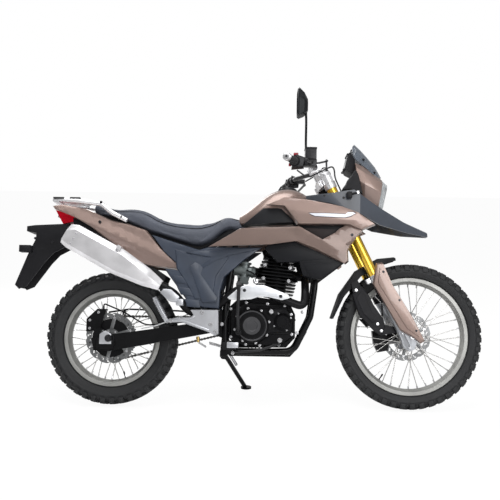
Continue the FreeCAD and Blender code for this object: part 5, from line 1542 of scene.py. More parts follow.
@dataclass
class FrontBodywork:
    """Beak, headlight, screen and dials."""

    def screen_bolts(self) -> Shape:
        """Rubber-washered bolts of the screen.

        Returns:
            The finished shape.
        """
        bolts = Shape()
        for spot, axis in (((1250, -58, 1133), (0.5, -0.8, 0.35)), ((1196, -62, 1196), (0.4, -0.85, 0.35))):
            bolts.take(Shape.bolt(4.2, 3.6), facing(spot, axis))
        return bolts.both_sides()

    def lamp_inside(self) -> Shape:
        """Two projector rings and a bright reflector behind the lens.

        Returns:
            The finished shape.
        """
        bowls = Shape()
        for height, radius in ((1045, 26), (1000, 22)):
            bowl = Shape.turned(
                [
                    (radius, 6), (radius - 1, 7), (radius * 0.72, 1.5), (radius * 0.5, 0.6),
                    (radius * 0.42, 4), (0, 7), (0, 0), (radius, 0),
                ],
                28
            )
            bowls.take(bowl, facing((1283 + (1045 - height) * -0.2, 0, height), (1.0, 0, -0.16)))
        return bowls

    def dial_face(self) -> Shape:
        """Glass of the instruments, facing the rider.

        Returns:
            The finished shape.
        """
        return Shape.prism(
            [(1104.6, -45, 1155), (1104.6, 45, 1155), (1120, 45, 1221), (1120, -45, 1221)], (2.0, 0, -0.5),
            0.8
        )

    def dial_bezel(self) -> Shape:
        """Raised frame and two buttons round the dial's glass.

        Returns:
            The finished shape.
        """
        rim = Shape()
        for low, high in (((1101, -50, 1146), (1109, 50, 1154)), ((1117, -50, 1222), (1125, 50, 1229))):
            rim.take(Shape.block(low, high, 1.6))
        for across in (-34, 34):
            button = Shape.turned([(0, 0), (5, 0), (5, 4), (3.6, 5), (0, 5)], 16)
            rim.take(button, facing((1103, across, 1149), Axis.BACK))
        return rim

    def indicators(self) -> Shape:
        """Small dark front indicators on short stems."""
        made = Shape.block((1102, -190, 984), (1128, -166, 1016), 6.0)
        return made.take(
            Shape.hose([(1116, -172, 1002), (1134, -166, 1010), (1152, -160, 1014)], 5.0)
        ).both_sides()

    def build(self, dresser: Dresser) -> None:
        """Makes and dresses the front bodywork.

        Args:
            dresser: puts the pieces on the frame.
        """
        # The beak's plastic is lighter, partly as painted light on its lit top.
        for node, width, finish in (
            ("front_beak", 2.2, "beak_painted_light_plastic"), ("headlight_cowl", 2.0, "bronze_paint"),
        ):
            shape = dresser.copy_of(node).rounded(width, 3, 14.0)
            dresser.add(f"{node}_shell", shape, node, finish, replaces=True, sharp=26.0)
        dresser.skin("windscreen", 0.0006, sharp=50.0)
        dresser.skin("headlight", 0.0012)
        dresser.skin("instruments", 0.0018)
        dresser.add("screen_bolts", self.screen_bolts(), "windscreen", "cap_black")
        dresser.add("lamp_projectors", self.lamp_inside(), "headlight", "yoke_alloy")
        dresser.add("dial_glass", self.dial_face(), "instruments", "display_glass")
        dresser.add("dial_bezel", self.dial_bezel(), "instruments", "black_plastic")
        bolts = Shape()
        for spot in ((1150, -151, 985), (1000, -159, 998), (1090, -159, 990)):
            bolts.take(Shape.bolt(4.0, 3.0), facing(spot, Axis.RIGHT))
        dresser.add("beak_bolts", bolts.both_sides(), "front_beak", "cap_black")
        dresser.add("front_indicators", self.indicators(), "front_beak", "black_plastic")
        stems = Shape.bolt(5.0, 5.0).moved(facing((1156, -160, 1017), Axis.RIGHT)).both_sides()
        dresser.add("indicator_bolts", stems, "front_beak", "bolt_steel")


@dataclass
class TankPanels:
    """Tank, shrouds and side panels with their ridges, stripe and screws."""

    slice_pitch: float = 22.0
    wing_face: float = -193.0
    stripe: Outline = (
        (925, 907), (1023, 907), (1094, 905), (1104, 915), (1130, 916), (1142, 910), (1116, 896), (1093, 890),
        (1023, 891), (953, 894), (938, 900),
    )

    def shaped(self, dresser: Dresser, node: str) -> Shape:
        """A node's copy cut into a grid, ready to be curved."""
        return dresser.copy_of(node).rounded(1.6, 2, 20.0).sliced(self.slice_pitch)

    def wing(self, shape: Shape) -> Shape:
        """The curve of the upper shroud, which the stripe follows."""
        shape.ridged((800, 930), (1210, 868), 60, 7)
        return shape.crowned((980, 915), (260, 110), 7)

    def band(self, shape: Shape) -> Shape:
        """The curve of the lower shroud, with the crease that carries on from its notch."""
        shape.ridged((880, 851), (1060, 742), 46, 5)
        return shape.crowned((880, 800), (380, 90), 5)

    def side(self, shape: Shape) -> Shape:
        """The curve of the side panel."""
        shape.ridged((330, 752), (640, 722), 46, 4)
        return shape.crowned((450, 650), (230, 230), 4)

    def tail(self, shape: Shape) -> Shape:
        """The long ridge of the tail panel."""
        shape.ridged((-280, 930), (330, 655), 46, 9)
        return shape.crowned((60, 780), (300, 110), 3)

    def stripes(self, grow: float, out: float) -> Shape:
        """The stripe's outline, grown and lifted off the shroud.

        Args:
            grow: how far the outline grows.
            out: how far it stands off the shroud.

        Returns:
            The finished shape.
        """
        centre = (
            sum(x for x, _ in self.stripe) / len(self.stripe),
            sum(z for _, z in self.stripe) / len(self.stripe),
        )
        outline = [
            (x + math.copysign(grow * 1.4, x - centre[0]), z + math.copysign(grow, z - centre[1]))
            for x, z in self.stripe
        ]
        plate = Shape.plate(outline, self.wing_face + 1.5, self.wing_face - out, 0.4)
        return self.wing(plate.both_sides().sliced(self.slice_pitch))

    def side_ribs(self) -> Shape:
        """Raised facets and steps moulded on the side panels, which lean inwards with height.

        Returns:
            The finished shape.
        """
        leaned = Matrix(((1, 0, 0, 0), (0, 1, 0.12, -60), (0, 0, 1, 0), (0, 0, 0, 1)))
        upper = [
            (352, 722), (440, 731), (700, 748), (682, 740), (560, 712), (494, 684), (438, 646), (420, 660),
            (474, 700),
        ]
        spine = [(370, 652), (398, 676), (436, 656), (424, 620), (506, 514), (500, 490), (436, 488)]
        made = Shape.plate(upper, -158, -168.6, 2.4).take(Shape.plate(spine, -158, -168.4, 3.0))
        for low, high in (((296, 612), (372, 604)), ((316, 558), (392, 550)), ((338, 504), (420, 496))):
            step = [low, high, (high[0] + 8, high[1] - 34), (low[0] + 20, low[1] - 36)]
            made.take(Shape.plate(step, -156, -163.4, 2.0))
        return made.moved(leaned).both_sides()

    def lower_facets(self) -> Shape:
        """Flat facets under the crease of the dark lower panels."""
        facet = Shape.plate([(904, 680), (1084, 680), (992, 608), (931, 616)], -150, -157, 2.4)
        return facet.take(
            Shape.plate([(728, 742), (884, 760), (1030, 700), (898, 690), (770, 694)], -150, -155.4, 1.6)
        ).both_sides()

    def band_lips(self) -> Shape:
        """Front upper ends of the lower shrouds, tucked behind the upper ones."""
        lip = [
            (1012, 786), (1071, 842), (1110, 862), (1186, 866), (1173, 834), (1150, 802), (1118, 762),
            (1060, 760),
        ]
        return Shape.plate(lip, -166, -176.6, 1.6).both_sides()

    def screws(self) -> Shape:
        """Dark screws along the panels.

        Returns:
            The finished shape.
        """
        screws = Shape()
        for x, y, z in (
            (787, -141, 967), (660, -172, 802), (1128, -176, 812), (440, -147, 520), (350, -129, 735),
            (-60, -130, 862),
        ):
            screws.take(Shape.bolt(5.0, 4.0), facing((x, y, z), Axis.RIGHT))
        return screws.both_sides()

    def cap(self) -> Shape:
        """Fuel cap with a knurled edge, raised flap and key cover.

        Returns:
            The finished shape.
        """
        profile = [
            (0, -4), (40, -4), (40, 20), (38, 25), (33, 27), (31, 24), (27, 24), (26, 28), (14, 29), (13, 26),
            (9, 26), (8, 30), (0, 30),
        ]
        lid = Shape.turned(profile, 40)
        rib = Shape.block((38.5, -1.4, -2), (41.2, 1.4, 21), 0.6)
        return lid.take(rib.repeated(30, Axis.UP)).moved(facing((836, 0, 1031), (2, 0, 30)))

    def build(self, dresser: Dresser) -> None:
        """Makes and dresses the panels.

        Args:
            dresser: puts the pieces on the frame.
        """
        tank = dresser.copy_of("fuel_tank")
        dresser.add("tank_shell", tank, "fuel_tank", replaces=True, sharp=30.0, bevel=0.0012)
        # The lower shrouds take the darker copy of the bronze paint, as painted shade.
        for node, curve, finish in (
            ("upper_shrouds", self.wing, None), ("lower_shrouds", self.band, "bronze_painted_shade"),
            ("side_panels", self.side, None), ("tail_panels", self.tail, None),
        ):
            dresser.add(
                f"{node}_shell", curve(self.shaped(dresser, node)), node, finish, replaces=True, sharp=14.0,
            )
        # The lower panels take the near-black plastic, as painted shade under the shrouds.
        panels = dresser.copy_of("lower_panels").rounded(1.6, 2, 20.0)
        dresser.add("lower_panels_shell", panels, "lower_panels", "plastic_painted_shade", replaces=True, sharp=26.0)
        dresser.add("stripe_edge", self.stripes(2.4, 0.5), "upper_shrouds", "stripe_outline_and_recess_shade", sharp=50.0)
        dresser.add("stripe", self.stripes(0.0, 1.3), "upper_shrouds", "stripe_white", sharp=50.0)
        dresser.add("side_panel_ribs", self.side_ribs(), "side_panels", sharp=26.0)
        # The facets take the same near-black plastic, as painted shade.
        dresser.add("lower_panel_facets", self.lower_facets(), "lower_panels", "plastic_painted_shade", sharp=26.0)
        # The lips take the darker copy of the bronze paint, as painted shade.
        dresser.add("lower_shroud_lips", self.band_lips(), "lower_shrouds", "bronze_painted_shade", sharp=26.0)
        dresser.add("panel_screws", self.screws(), "side_panels", "dark_bolt")
        dresser.add("fuel_cap", self.cap(), "tank_cap", replaces=True)
        # A near-black brown sheet behind the lower shroud's notch, as painted shade inside the vented recess.
        recess = Shape.plate(
            [(905, 846), (1085, 838), (1072, 822), (1008, 790), (996, 788)], -145.6, -148.5, 1.0,
        )
        dresser.add("shroud_recess", recess.both_sides(), "lower_panels", "stripe_outline_and_recess_shade")


@dataclass
class EngineTrim:
    """Bolts, hoses, carburettor details, heat shield and frame fittings of the engine bay."""

    case_bolts: Sequence[tuple[float, float, float]] = (
        (568, -101, 462), (640, -101, 492), (740, -101, 488), (822, -101, 480), (852, -101, 440),
        (856, -101, 346),
        (796, -101, 296), (706, -101, 292), (640, -101, 296), (570, -101, 330),
    )
    head_bolts: Sequence[Point] = ((-62, -86, 84), (-62, -86, 148), (58, -86, 84), (58, -86, 148))

    def ring(self) -> Shape:
        """Turned bright edge of the clutch cover.

        Returns:
            The finished shape.
        """
        edge = Shape.turned([(63, 0), (66, 2.4), (70, 2.4), (72, 0), (70, -3), (64, -3)], 72, ring=True)
        edge.take(Shape.turned([(50, 0), (0, 0), (0, 2.0), (24, 2.0), (26, 3.4), (46, 3.4)], 48, ring=True))
        return edge.moved(facing((668, -121, 384), Axis.RIGHT))

    def bolts(self) -> Shape:
        """Case and cover bolts on both sides of the engine.

        Returns:
            The finished shape.
        """
        made = Shape()
        for spot in self.case_bolts:
            made.take(Shape.bolt(4.6, 5.0), facing(spot, Axis.RIGHT))
            if spot[0] > 600:
                made.take(Shape.bolt(4.6, 5.0), facing((spot[0] - 6, 81, spot[2] - 6), Axis.LEFT))
        for centre, radius, count, face, side in (
            ((668, 384), 82, 8, -110, Axis.RIGHT), ((812, 404), 44, 4, -98, Axis.RIGHT),
            ((800, 396), 76, 7, 104, Axis.LEFT)
        ):
            for index in range(count):
                angle = 2 * math.pi * (index + 0.3) / count
                spot = (centre[0] + radius * math.cos(angle), face, centre[1] + radius * math.sin(angle))
                made.take(Shape.bolt(4.4, 5.0), facing(spot, side))
        return made

    def plugs(self) -> Shape:
        """Filler cap, drain and banjo bolts in bright metal.

        Returns:
            The finished shape.
        """
        made = Shape.turned(
            [(0, 0), (11, 0), (11, 5), (9, 7), (0, 7)], 20,
        ).moved(facing((758, -118, 452), Axis.RIGHT))
        made.take(Shape.nut(9.0, 8.0, 2.0), facing((800, -99, 318), Axis.RIGHT))
        made.take(Shape.bolt(7.0, 8.0), facing((683, -60, 600), Axis.RIGHT))
        made.take(
            Shape.turned([(0, 0), (14, 0), (14, 6), (11, 9), (5, 9), (5, 24), (0, 24)], 20),
            facing((683, -62, 596), (0.3, -1, 0.2)),
        )
        for spot in (
            (527, -109, 389), (906, -84, 452), (911, -84, 494), (879, -90, 354), (581, -116, 255),
            (558, -100, 300),
        ):
            made.take(Shape.bolt(6.0, 6.0), facing(spot, Axis.RIGHT))
        return made

    def cylinder(self) -> Shape:
        """Studs, spark plug cap and cam cover bolts, in the cylinder's own setting.

        Returns:
            The finished shape.
        """
        made = Shape()
        for spot in self.head_bolts:
            made.take(Shape.nut(6.5, 7.0, 4.0), facing(spot, Axis.RIGHT))
            made.take(Shape.nut(6.5, 7.0, 4.0), facing((spot[0], -spot[1], spot[2]), Axis.LEFT))
        for ahead in (-46, 44):
            for across in (-32, 32):
                made.take(Shape.bolt(4.5, 6.0), facing((ahead, across, 219), Axis.UP))
        return made

    def carburettor(self) -> Shape:
        """Bowl screws, throttle wheel, drain and choke knob, in the cylinder's setting.

        Returns:
            The finished shape.
        """
        made = Shape()
        x = -158.3
        for ahead, height in ((-26, 84), (26, 84), (-24, 56), (24, 56)):
            made.take(
                Shape.bolt(3.4, 3.4), facing((x + ahead, -30 if height > 80 else -26, height), Axis.RIGHT),
            )
        wheel = Shape.turned([(0, 0), (22, 0), (22, 2), (19, 3), (19, 6), (22, 7), (22, 9), (0, 9)], 28)
        made.take(wheel, facing((x, 24, 116), Axis.LEFT))
        made.take(
            Shape.turned([(0, 0), (5, 0), (5, 9), (3, 11), (0, 11)], 12), facing((x, 0, 50), (0, 0, -1)),
        )
        made.take(
            Shape.turned([(0, 0), (4, 0), (4, 16), (8, 17), (8, 26), (0, 26)], 16),
            facing((x + 22, -24, 118), (0.2, -1, 0.1)),
        )
        for height in (146, 152):
            made.take(
                Shape.turned([(27, 0), (31, 0), (31, 3), (27, 3)], 28, ring=True),
                facing((x, 0, height), Axis.UP),
            )
        return made

    def hoses(self) -> Shape:
        """Vent, fuel and plug leads round the carburettor and the cylinder.

        Returns:
            The finished shape.
        """
        made = Shape.hose(
            [(612, -10, 628), (600, -44, 600), (592, -66, 560), (600, -74, 520), (596, -76, 500)], 4.0,
        )
        made.take(
            Shape.hose(
                [(640, 0, 700), (632, -34, 736), (650, -52, 770), (690, -58, 800), (700, -50, 830)], 4.5,
            )
        )
        made.take(
            Shape.hose(
                [(802, -104, 672), (812, -118, 700), (800, -104, 748), (770, -70, 790), (740, -50, 810)], 4.0,
            )
        )
        made.take(Shape.hose([(640, -34, 650), (664, -60, 640), (690, -72, 612), (683, -70, 600)], 4.0))
        return made.take(
            Shape.hose(
                [(540, -112, 396), (552, -112, 430), (556, -100, 470), (548, -96, 520), (556, -92, 590)], 3.6,
            )
        )

    def shield(self) -> Shape:
        """The heat shield's pressed plate, crowned along its middle.

        Returns:
            The finished shape.
        """
        outline = [
            (552, 512), (606, 558), (640, 573), (721, 572), (752, 561), (836, 530), (842, 513), (806, 503),
            (750, 515), (703, 519), (662, 505), (602, 500), (562, 503),
        ]
        plate = Shape.plate(outline, -165, -172.5, 3.4).sliced(20)
        return plate.crowned((700, 536), (170, 34), 5)

    def starter(self) -> Shape:
        """Starter motor across the top of the crankcase, behind the cylinder.

        Returns:
            The finished shape.
        """
        profile = [
            (0, 0), (20, 0), (25, 3), (27, 8), (27, 14), (30, 16), (30, 112), (26, 116), (26, 128), (20, 132),
            (0, 132),
        ]
        motor = Shape.turned(profile, 28).moved(facing((642, -72, 528), Axis.LEFT))
        motor.take(Shape.block((604, -60, 486), (684, 50, 512), 4.0))
        return motor.take(Shape.nut(6.0, 8.0, 6.0), facing((628, -20, 556), Axis.UP))

    def shield_screws(self) -> Shape:
        """Screws of the heat shield with their rubber seats.

        Returns:
            The finished shape.
        """
        made = Shape()
        for x, z in ((632, 546), (800, 521)):
            made.take(
                Shape.turned(
                    [(0, 0), (8, 0), (8, 1.2), (5.6, 2.0), (5, 4), (2.2, 4.4), (2, 2.4), (0, 2.4)], 20,
                ),
                facing((x, -174.6, z), Axis.RIGHT),
            )
        return made

    def brake_switch(self) -> Shape:
        """Brass body of the rear brake's switch above its spring."""
        made = Shape.turned([(0, 0), (7, 0), (7, 4), (9, 5), (9, 13), (7, 14), (7, 26), (4, 28), (0, 28)], 16)
        return made.moved(facing((416, -112, 330), (0.1, 0, -1)))

    def springs(self) -> Shape:
        """Return springs of the brake pedal and its switch."""
        made = Shape.coil(4.4, 0.9, 3.0, 14, 12).moved(facing((420, -112, 302), (0.7, 0, -0.4)))
        return made.take(Shape.coil(6.0, 1.3, 3.6, 16, 12), facing((470, -112, 300), (1.0, 0, -0.25)))

    def build(self, dresser: Dresser) -> None:
        """Makes and dresses the engine bay.

        Args:
            dresser: puts the pieces on the frame.
        """
        for node, width in (
            ("engine_covers", 0.002), ("engine_crankcase", 0.002), ("engine_top_end", 0.0008),
            ("carburettor", 0.0014),
            ("exhaust_header", 0.0), ("main_frame", 0.0012), ("skid_plate", 0.0016),
        ):
            dresser.skin(node, width)
        dresser.add("heat_shield_plate", self.shield(), "heat_shield", replaces=True, sharp=24.0)
        dresser.add("starter_motor", self.starter(), "engine_crankcase")
        dresser.add("clutch_ring", self.ring(), "engine_covers", "cover_ring")
        dresser.add("case_bolts", self.bolts(), "engine_covers", "bolt_steel")
        dresser.add("engine_plugs", self.plugs(), "engine_covers", "bolt_steel")
        dresser.add("cylinder_bolts", self.cylinder(), "engine_top_end", "bolt_steel", BIKE @ ENGINE)
        dresser.add("carburettor_parts", self.carburettor(), "carburettor", None, BIKE @ ENGINE)
        dresser.add("engine_hoses", self.hoses(), "engine_top_end", "cable_black")
        dresser.add("shield_screws", self.shield_screws(), "heat_shield", "dark_bolt")
        dresser.add("brake_switch", self.brake_switch(), "main_frame", "brass")
        dresser.add("pedal_springs", self.springs(), "main_frame", "bolt_steel")


@dataclass
class ExhaustTrim:
    """Muffler body with its end cap, rivets and outlet."""

    inlet: Point = (246.0, -196.0, 560.0)
    tail: Point = (-196.0, -196.0, 797.0)
    facet_above: float = 20.0
    facet_lift: float = 10.0

    @property
    def place(self) -> Matrix:
        """The muffler's setting: Z along it from the inlet, X up, Y sideways.

        Returns:
            The setting.
        """
        along = (Vector(self.tail) - Vector(self.inlet)).normalized()
        side = Vector((0.0, 1.0, 0.0))
        up = side.cross(along)
        turn = Matrix((up, side, along)).transposed().to_4x4()
        return Matrix.Translation(self.inlet) @ turn

    def rivets(self) -> Shape:
        """Rivets of the end cap and the strap's bolt.

        Returns:
            The finished shape.
        """
        made = Shape()
        length = (Vector(self.tail) - Vector(self.inlet)).length
        for height in (-34, -8, 18):
            button = Shape.turned([(0, -1), (4.2, -1), (4.2, 0.6), (3, 1.8), (0, 2.2)], 14)
            made.take(button, self.place @ facing((height, -45.0, length * 0.9), Axis.RIGHT))
        made.take(Shape.bolt(5.0, 6.0), self.place @ facing((44, -41, length * 0.5), Axis.RIGHT))
        return made

    def outlet(self) -> Shape:
        """Rolled tip of the tail pipe.

        Returns:
            The finished shape.
        """
        length = (Vector(self.tail) - Vector(self.inlet)).length
        tip = Shape.turned(
            [(17, -50), (19.5, -50), (19.5, 4), (18.2, 6), (16, 6), (14.8, 4), (14.8, -50)], 32, ring=True,
        )
        return tip.moved(self.place @ Matrix.Translation((0, 0, length)))

    def build(self, dresser: Dresser) -> None:
        """Makes and dresses the muffler.

        Args:
            dresser: puts the pieces on the frame.
        """
        muffler, inner = dresser.copy_of("muffler"), self.place.inverted()
        for vert in muffler.mesh.verts:
            spot = inner @ vert.co
            if spot.x > self.facet_above:
                vert.co += self.place.to_3x3() @ Vector(
                    (min(1.0, spot.z / 200.0) * self.facet_lift, 0.0, 0.0)
                )
        muffler.rounded(5.0, 4, 22.0)
        dresser.add("muffler_body", muffler, "muffler", replaces=True, sharp=32.0)
        dresser.add("muffler_rivets", self.rivets(), "muffler", "bolt_steel")
        dresser.add("muffler_outlet", self.outlet(), "muffler", "pipe_black")
        clamp = Shape.plate(
            [(246, 528), (262, 546), (297, 543), (337, 509), (318, 484), (288, 488)], -172, -222, 5.0,
        )
        clamp.take(Shape.block((318, -206, 470), (352, -168, 500), 4.0)).take(
            Shape.bolt(5.5, 6.0), facing((290, -222, 516), Axis.RIGHT),
        )
        dresser.add("muffler_clamp", clamp, "muffler", "peg_alloy")


@dataclass
class TailTrim:
    """Rack pads, lamps and fender fittings."""

    def pads(self) -> Shape:
        """Rubber pads on the luggage rack.

        Returns:
            The finished shape.
        """
        made = Shape()
        for low, high in ((-292, -236), (-212, -158)):
            made.take(Shape.block((low, -58, 975), (high, 58, 982.5), 2.4))
            made.take(Shape.block((low - 2, -106, 975), (high - 6, -88, 983), 2.4).both_sides())
        return made

    def lamp(self) -> Shape:
        """Row of light cells behind the red lens.

        Returns:
            The finished shape.
        """
        cells = Shape()
        for across in range(-45, 46, 15):
            cells.take(
                Shape.turned([(0, 0), (5.4, 0), (5.8, 1.6), (4, 2.0), (0, 0.8)], 14),
                facing((-279, across, 898), (-1, 0, 0.3)),
            )
        return cells

    def indicators(self) -> Shape:
        """Ribbed lenses of the rear indicators."""
        lens = Shape.block((-433.5, 103, 714), (-378.5, 147, 742), 4.0)
        return lens.take(Shape.block((-422, 149, 716), (-390, 151.5, 740), 1.0)).both_sides()

    def fender_screws(self) -> Shape:
        """Screws along the fender's edge and the number plate's two bare screws.

        Returns:
            The finished shape.
        """
        made = Shape()
        for x, z in ((-300, 768), (-382, 786), (-398, 730)):
            made.take(Shape.bolt(4.4, 3.0), facing((x, -66, z), Axis.RIGHT))
        return made.both_sides()

    def build(self, dresser: Dresser) -> None:
        """Makes and dresses the tail.

        Args:
            dresser: puts the pieces on the frame.
        """
        dresser.add(
            "rack_rails", dresser.copy_of("grab_rack").grown(2.4), "grab_rack", replaces=True, sharp=40.0,
        )
        guard = [
            (-196, 884), (-50, 846), (78, 772), (150, 682), (258, 612), (240, 566), (122, 622), (40, 690),
            (-70, 762),
            (-190, 822),
        ]
        dresser.add("inner_guards", Shape.plate(guard, -92, -96, 1.2).both_sides(), "rear_fender")
        dresser.skin("tail_light", 0.002)
        dresser.skin("subframe", 0.0008)
        dresser.add(
            "rear_fender_shell", dresser.copy_of("rear_fender").rounded(2.0, 2, 24.0), "rear_fender",
            replaces=True, sharp=30.0,
        )
        dresser.add("rack_pads", self.pads(), "grab_rack", "grip_rubber")
        dresser.add("tail_cells", self.lamp(), "tail_light", "yoke_alloy")
        dresser.add("indicator_lenses", self.indicators(), "rear_fender", "black_plastic")
        dresser.add("fender_screws", self.fender_screws(), "rear_fender", "dark_bolt")
        bolts = Shape()
        for x, y, z in ((-60, 112, 957), (40, 120, 886)):
            bolts.take(Shape.bolt(5.0, 4.0), facing((x, -y - 8, z), Axis.RIGHT))
        dresser.add("rack_bolts", bolts.both_sides(), "grab_rack", "dark_bolt")


@dataclass
class SeatPad:
    """Foam seat swollen by a cloth simulation, with sewn seams and piping."""

    voxel: float = 0.006
    pressure: float = 4.0
    swell: float = 0.009
    tuck: float = 0.005
    frames: int = 20
    groove: float = 0.0028
    groove_reach: float = 0.012
    piping: float = 1.7
    seam_steps: int = 6
    drop_from: float = 1100.0
    base_slope: float = -0.6
    nose_from: float = 430.0
    nose_over: float = 130.0
    nose_widening: float = 0.2
    tip_from: float = 560.0
    tip_over: float = 72.0
    tip_forward: float = 14.0
    profile: Sequence[tuple[float, ...]] = (
        (260, 788, 874, 0, 0), (300, 777, 866, 0, 2), (361, 762, 855, 0, 9), (441, 771, 857, -4, 14),
        (505, 809, 874, -14, 5), (545, 838, 888, -18, 8), (600, 856, 908, -10, 18), (640, 864, 923, -6, 26),
    )
    base_line: Outline = (
        (-60, 892), (60, 858), (223, 796), (331, 760), (414, 746), (461, 769), (505, 798), (560, 834),
        (600, 849), (640, 861),
    )

    def lift(self, x: float, z: float) -> float:
        """How far a point of the solid is raised, so that the swollen pad has the photograph's outline.

        Args:
            x: the point's place along the bike.
            z: its height.

        Returns:
            The distance.
        """
        rows = self.profile
        if x <= rows[0][0]:
            return 0.0
        for first, last in zip(rows, rows[1:]):
            if x < last[0] or last is rows[-1]:
                share = min(1.0, (x - first[0]) / (last[0] - first[0]))
                low, high, down, rise = (a + (b - a) * share for a, b in zip(first[1:], last[1:]))
                height = min(1.0, max(0.0, (z - low) / (high - low)))
                return down + (rise - down) * height
        return 0.0

    def base(self) -> Shape:
        """Black plastic pan under the foam."""
        lower = [(x, z - 12) for x, z in self.base_line]
        return Shape.plate([*((x, z + 13) for x, z in self.base_line), *lower[::-1]], -74, 74, 2.0)

    def remeshed(self, dresser: Dresser) -> bpy.types.Object:
        """The seat's solid as an even mesh, a little smaller so that it has room to swell.

        Args:
            dresser: puts the pieces on the frame.

        Returns:
            The seat's mesh as an object.
        """
        shape = dresser.copy_of("seat").sliced(16.0)
        for vert in shape.mesh.verts:
            share = min(1.0, max(0.0, (vert.co.x - self.nose_from) / self.nose_over))
            share *= share * (3.0 - 2.0 * share)
            vert.co.y *= 1.0 + self.nose_widening * share
            vert.co.z += self.lift(vert.co.x, vert.co.z)
            vert.co.x += self.tip_forward * share * max(0.0, (vert.co.x - self.tip_from) / self.tip_over)
        shape.moved(BIKE)
        data = bpy.data.meshes.new("seat_start")
        shape.mesh.to_mesh(data)
        shape.mesh.free()
        start = bpy.data.objects.new("seat_start", data)
        bpy.context.scene.collection.objects.link(start)
        remesh = start.modifiers.new("Even", "REMESH")
        remesh.mode, remesh.voxel_size = "VOXEL", self.voxel
        graph = bpy.context.evaluated_depsgraph_get()
        even = bpy.data.meshes.new_from_object(start.evaluated_get(graph))
        bpy.data.objects.remove(start)
        mesh = bmesh.new()
        mesh.from_mesh(even)
        for _ in range(3):
            bmesh.ops.smooth_vert(
                mesh, verts=mesh.verts, factor=0.5, use_axis_x=True, use_axis_y=True, use_axis_z=True,
            )
        mesh.normal_update()
        for vert in mesh.verts:
            vert.co -= vert.normal * self.tuck
        mesh.to_mesh(even)
        mesh.free()
        pad = bpy.data.objects.new("seat_pad", even)
        bpy.context.scene.collection.objects.link(pad)
        return pad

    def inflate(self, pad: bpy.types.Object) -> None:
        """Swells the pad under pressure, held along its base, and keeps the result.

        Args:
            pad: the seat's mesh.
        """
        rest = [vert.co.copy() for vert in pad.data.vertices]
        base = [vert.index for vert in pad.data.vertices if vert.normal.z < self.base_slope]
        group = pad.vertex_groups.new(name="base")
        group.add(base, 1.0, "REPLACE")
        cloth = pad.modifiers.new("Cloth", "CLOTH")
        settings = cloth.settings
        settings.quality, settings.mass = 4, 0.4
        settings.use_pressure, settings.uniform_pressure_force = True, self.pressure
        settings.effector_weights.gravity = 0.0
        settings.vertex_group_mass = "base"
        settings.bending_stiffness = 2.0
        cloth.collision_settings.use_collision = False
        cloth.point_cache.frame_start, cloth.point_cache.frame_end = 1, self.frames
        scene = bpy.context.scene
        for number in range(1, self.frames + 1):
            scene.frame_set(number)
        graph = bpy.context.evaluated_depsgraph_get()
        swollen = bpy.data.meshes.new_from_object(pad.evaluated_get(graph))
        pad.modifiers.remove(cloth)
        for vert, start, moved in zip(pad.data.vertices, rest, swollen.vertices):
            step = moved.co - start
            if step.length > self.swell:
                step *= self.swell / step.length
            vert.co = start + step
        bpy.data.meshes.remove(swollen)
        scene.frame_set(1)

    def seam_lines(self) -> list[list[tuple[float, float]]]:
        """Seams seen from above, as (x, y) of the bike: two along the top edges and two across.

        Returns:
            The points of each seam.
        """
        edge = [
            (-84, 52), (-30, 74), (60, 88), (164, 96), (223, 96), (331, 94), (410, 88), (478, 80), (560, 66),
            (606, 52),
        ]
        step = [(214, -96), (222, -50), (226, 0), (222, 50), (214, 96)]
        return [edge, [(x, -y) for x, y in edge], step]

    def on_surface(self, pad: bpy.types.Object, line: list[tuple[float, float]]) -> list[Vector]:
        """Drops a seam's points onto the pad, in metres.

        Args:
            pad: the seat's mesh.
            line: the seam's (x, y) points.

        Returns:
            The points on the pad.
        """
        tree = BVHTree.FromObject(pad, bpy.context.evaluated_depsgraph_get())
        turn = BIKE.to_3x3().normalized()
        down = turn @ Vector((0.0, 0.0, -1.0))
        found = []
        for (x, y), (to_x, to_y) in zip(line, line[1:]):
            for index in range(self.seam_steps):
                share = index / self.seam_steps
                above = BIKE @ Vector((x + (to_x - x) * share, y + (to_y - y) * share, self.drop_from))
                hit, _, _, _ = tree.ray_cast(above, down)
                if hit is not None:
                    found.append(hit)
        return found

    def sew(self, dresser: Dresser, pad: bpy.types.Object) -> None:
        """Presses each seam into the pad and lays its piping in the groove.

        Args:
            dresser: puts the pieces on the frame.
            pad: the seat's mesh.
        """
        lines = [self.on_surface(pad, line) for line in self.seam_lines()]
        inwards = {}
        for line in lines:
            for vert in pad.data.vertices:
                near = min((vert.co - point).length for point in line)
                if near < self.groove_reach:
                    depth = self.groove * (1 - near / self.groove_reach) ** 2
                    inwards[vert.index] = max(depth, inwards.get(vert.index, 0.0))
        normals = [vert.normal.copy() for vert in pad.data.vertices]
        for index, depth in inwards.items():
            pad.data.vertices[index].co -= normals[index] * depth
        piping = Shape()
        for line in lines:
            points = [tuple(point / MM) for point in line[::3] + line[-1:]]
            piping.take(Shape.hose(points, self.piping))
        dresser.add("seat_piping", piping, "seat", "black_plastic", Matrix.Scale(MM, 4))

    def build(self, dresser: Dresser) -> None:
        """Makes the pan, the pad and its seams.

        Args:
            dresser: puts the pieces on the frame.
        """
        dresser.add("seat_pan", self.base(), "seat", "black_plastic")
        pad = self.remeshed(dresser)
        self.inflate(pad)
        self.sew(dresser, pad)
        pad.data.polygons.foreach_set("use_smooth", [True] * len(pad.data.polygons))
        pad.data.materials.clear()
        pad.data.materials.append(dresser.material("seat_cover"))
        smooth = pad.modifiers.new("Smooth", "SUBSURF")
        smooth.levels = smooth.render_levels = 1
        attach(pad, Body.FRAME.value)
        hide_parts("seat")
        dresser.dressed.add("seat")
        LOG.info("piece seat_pad on frame")


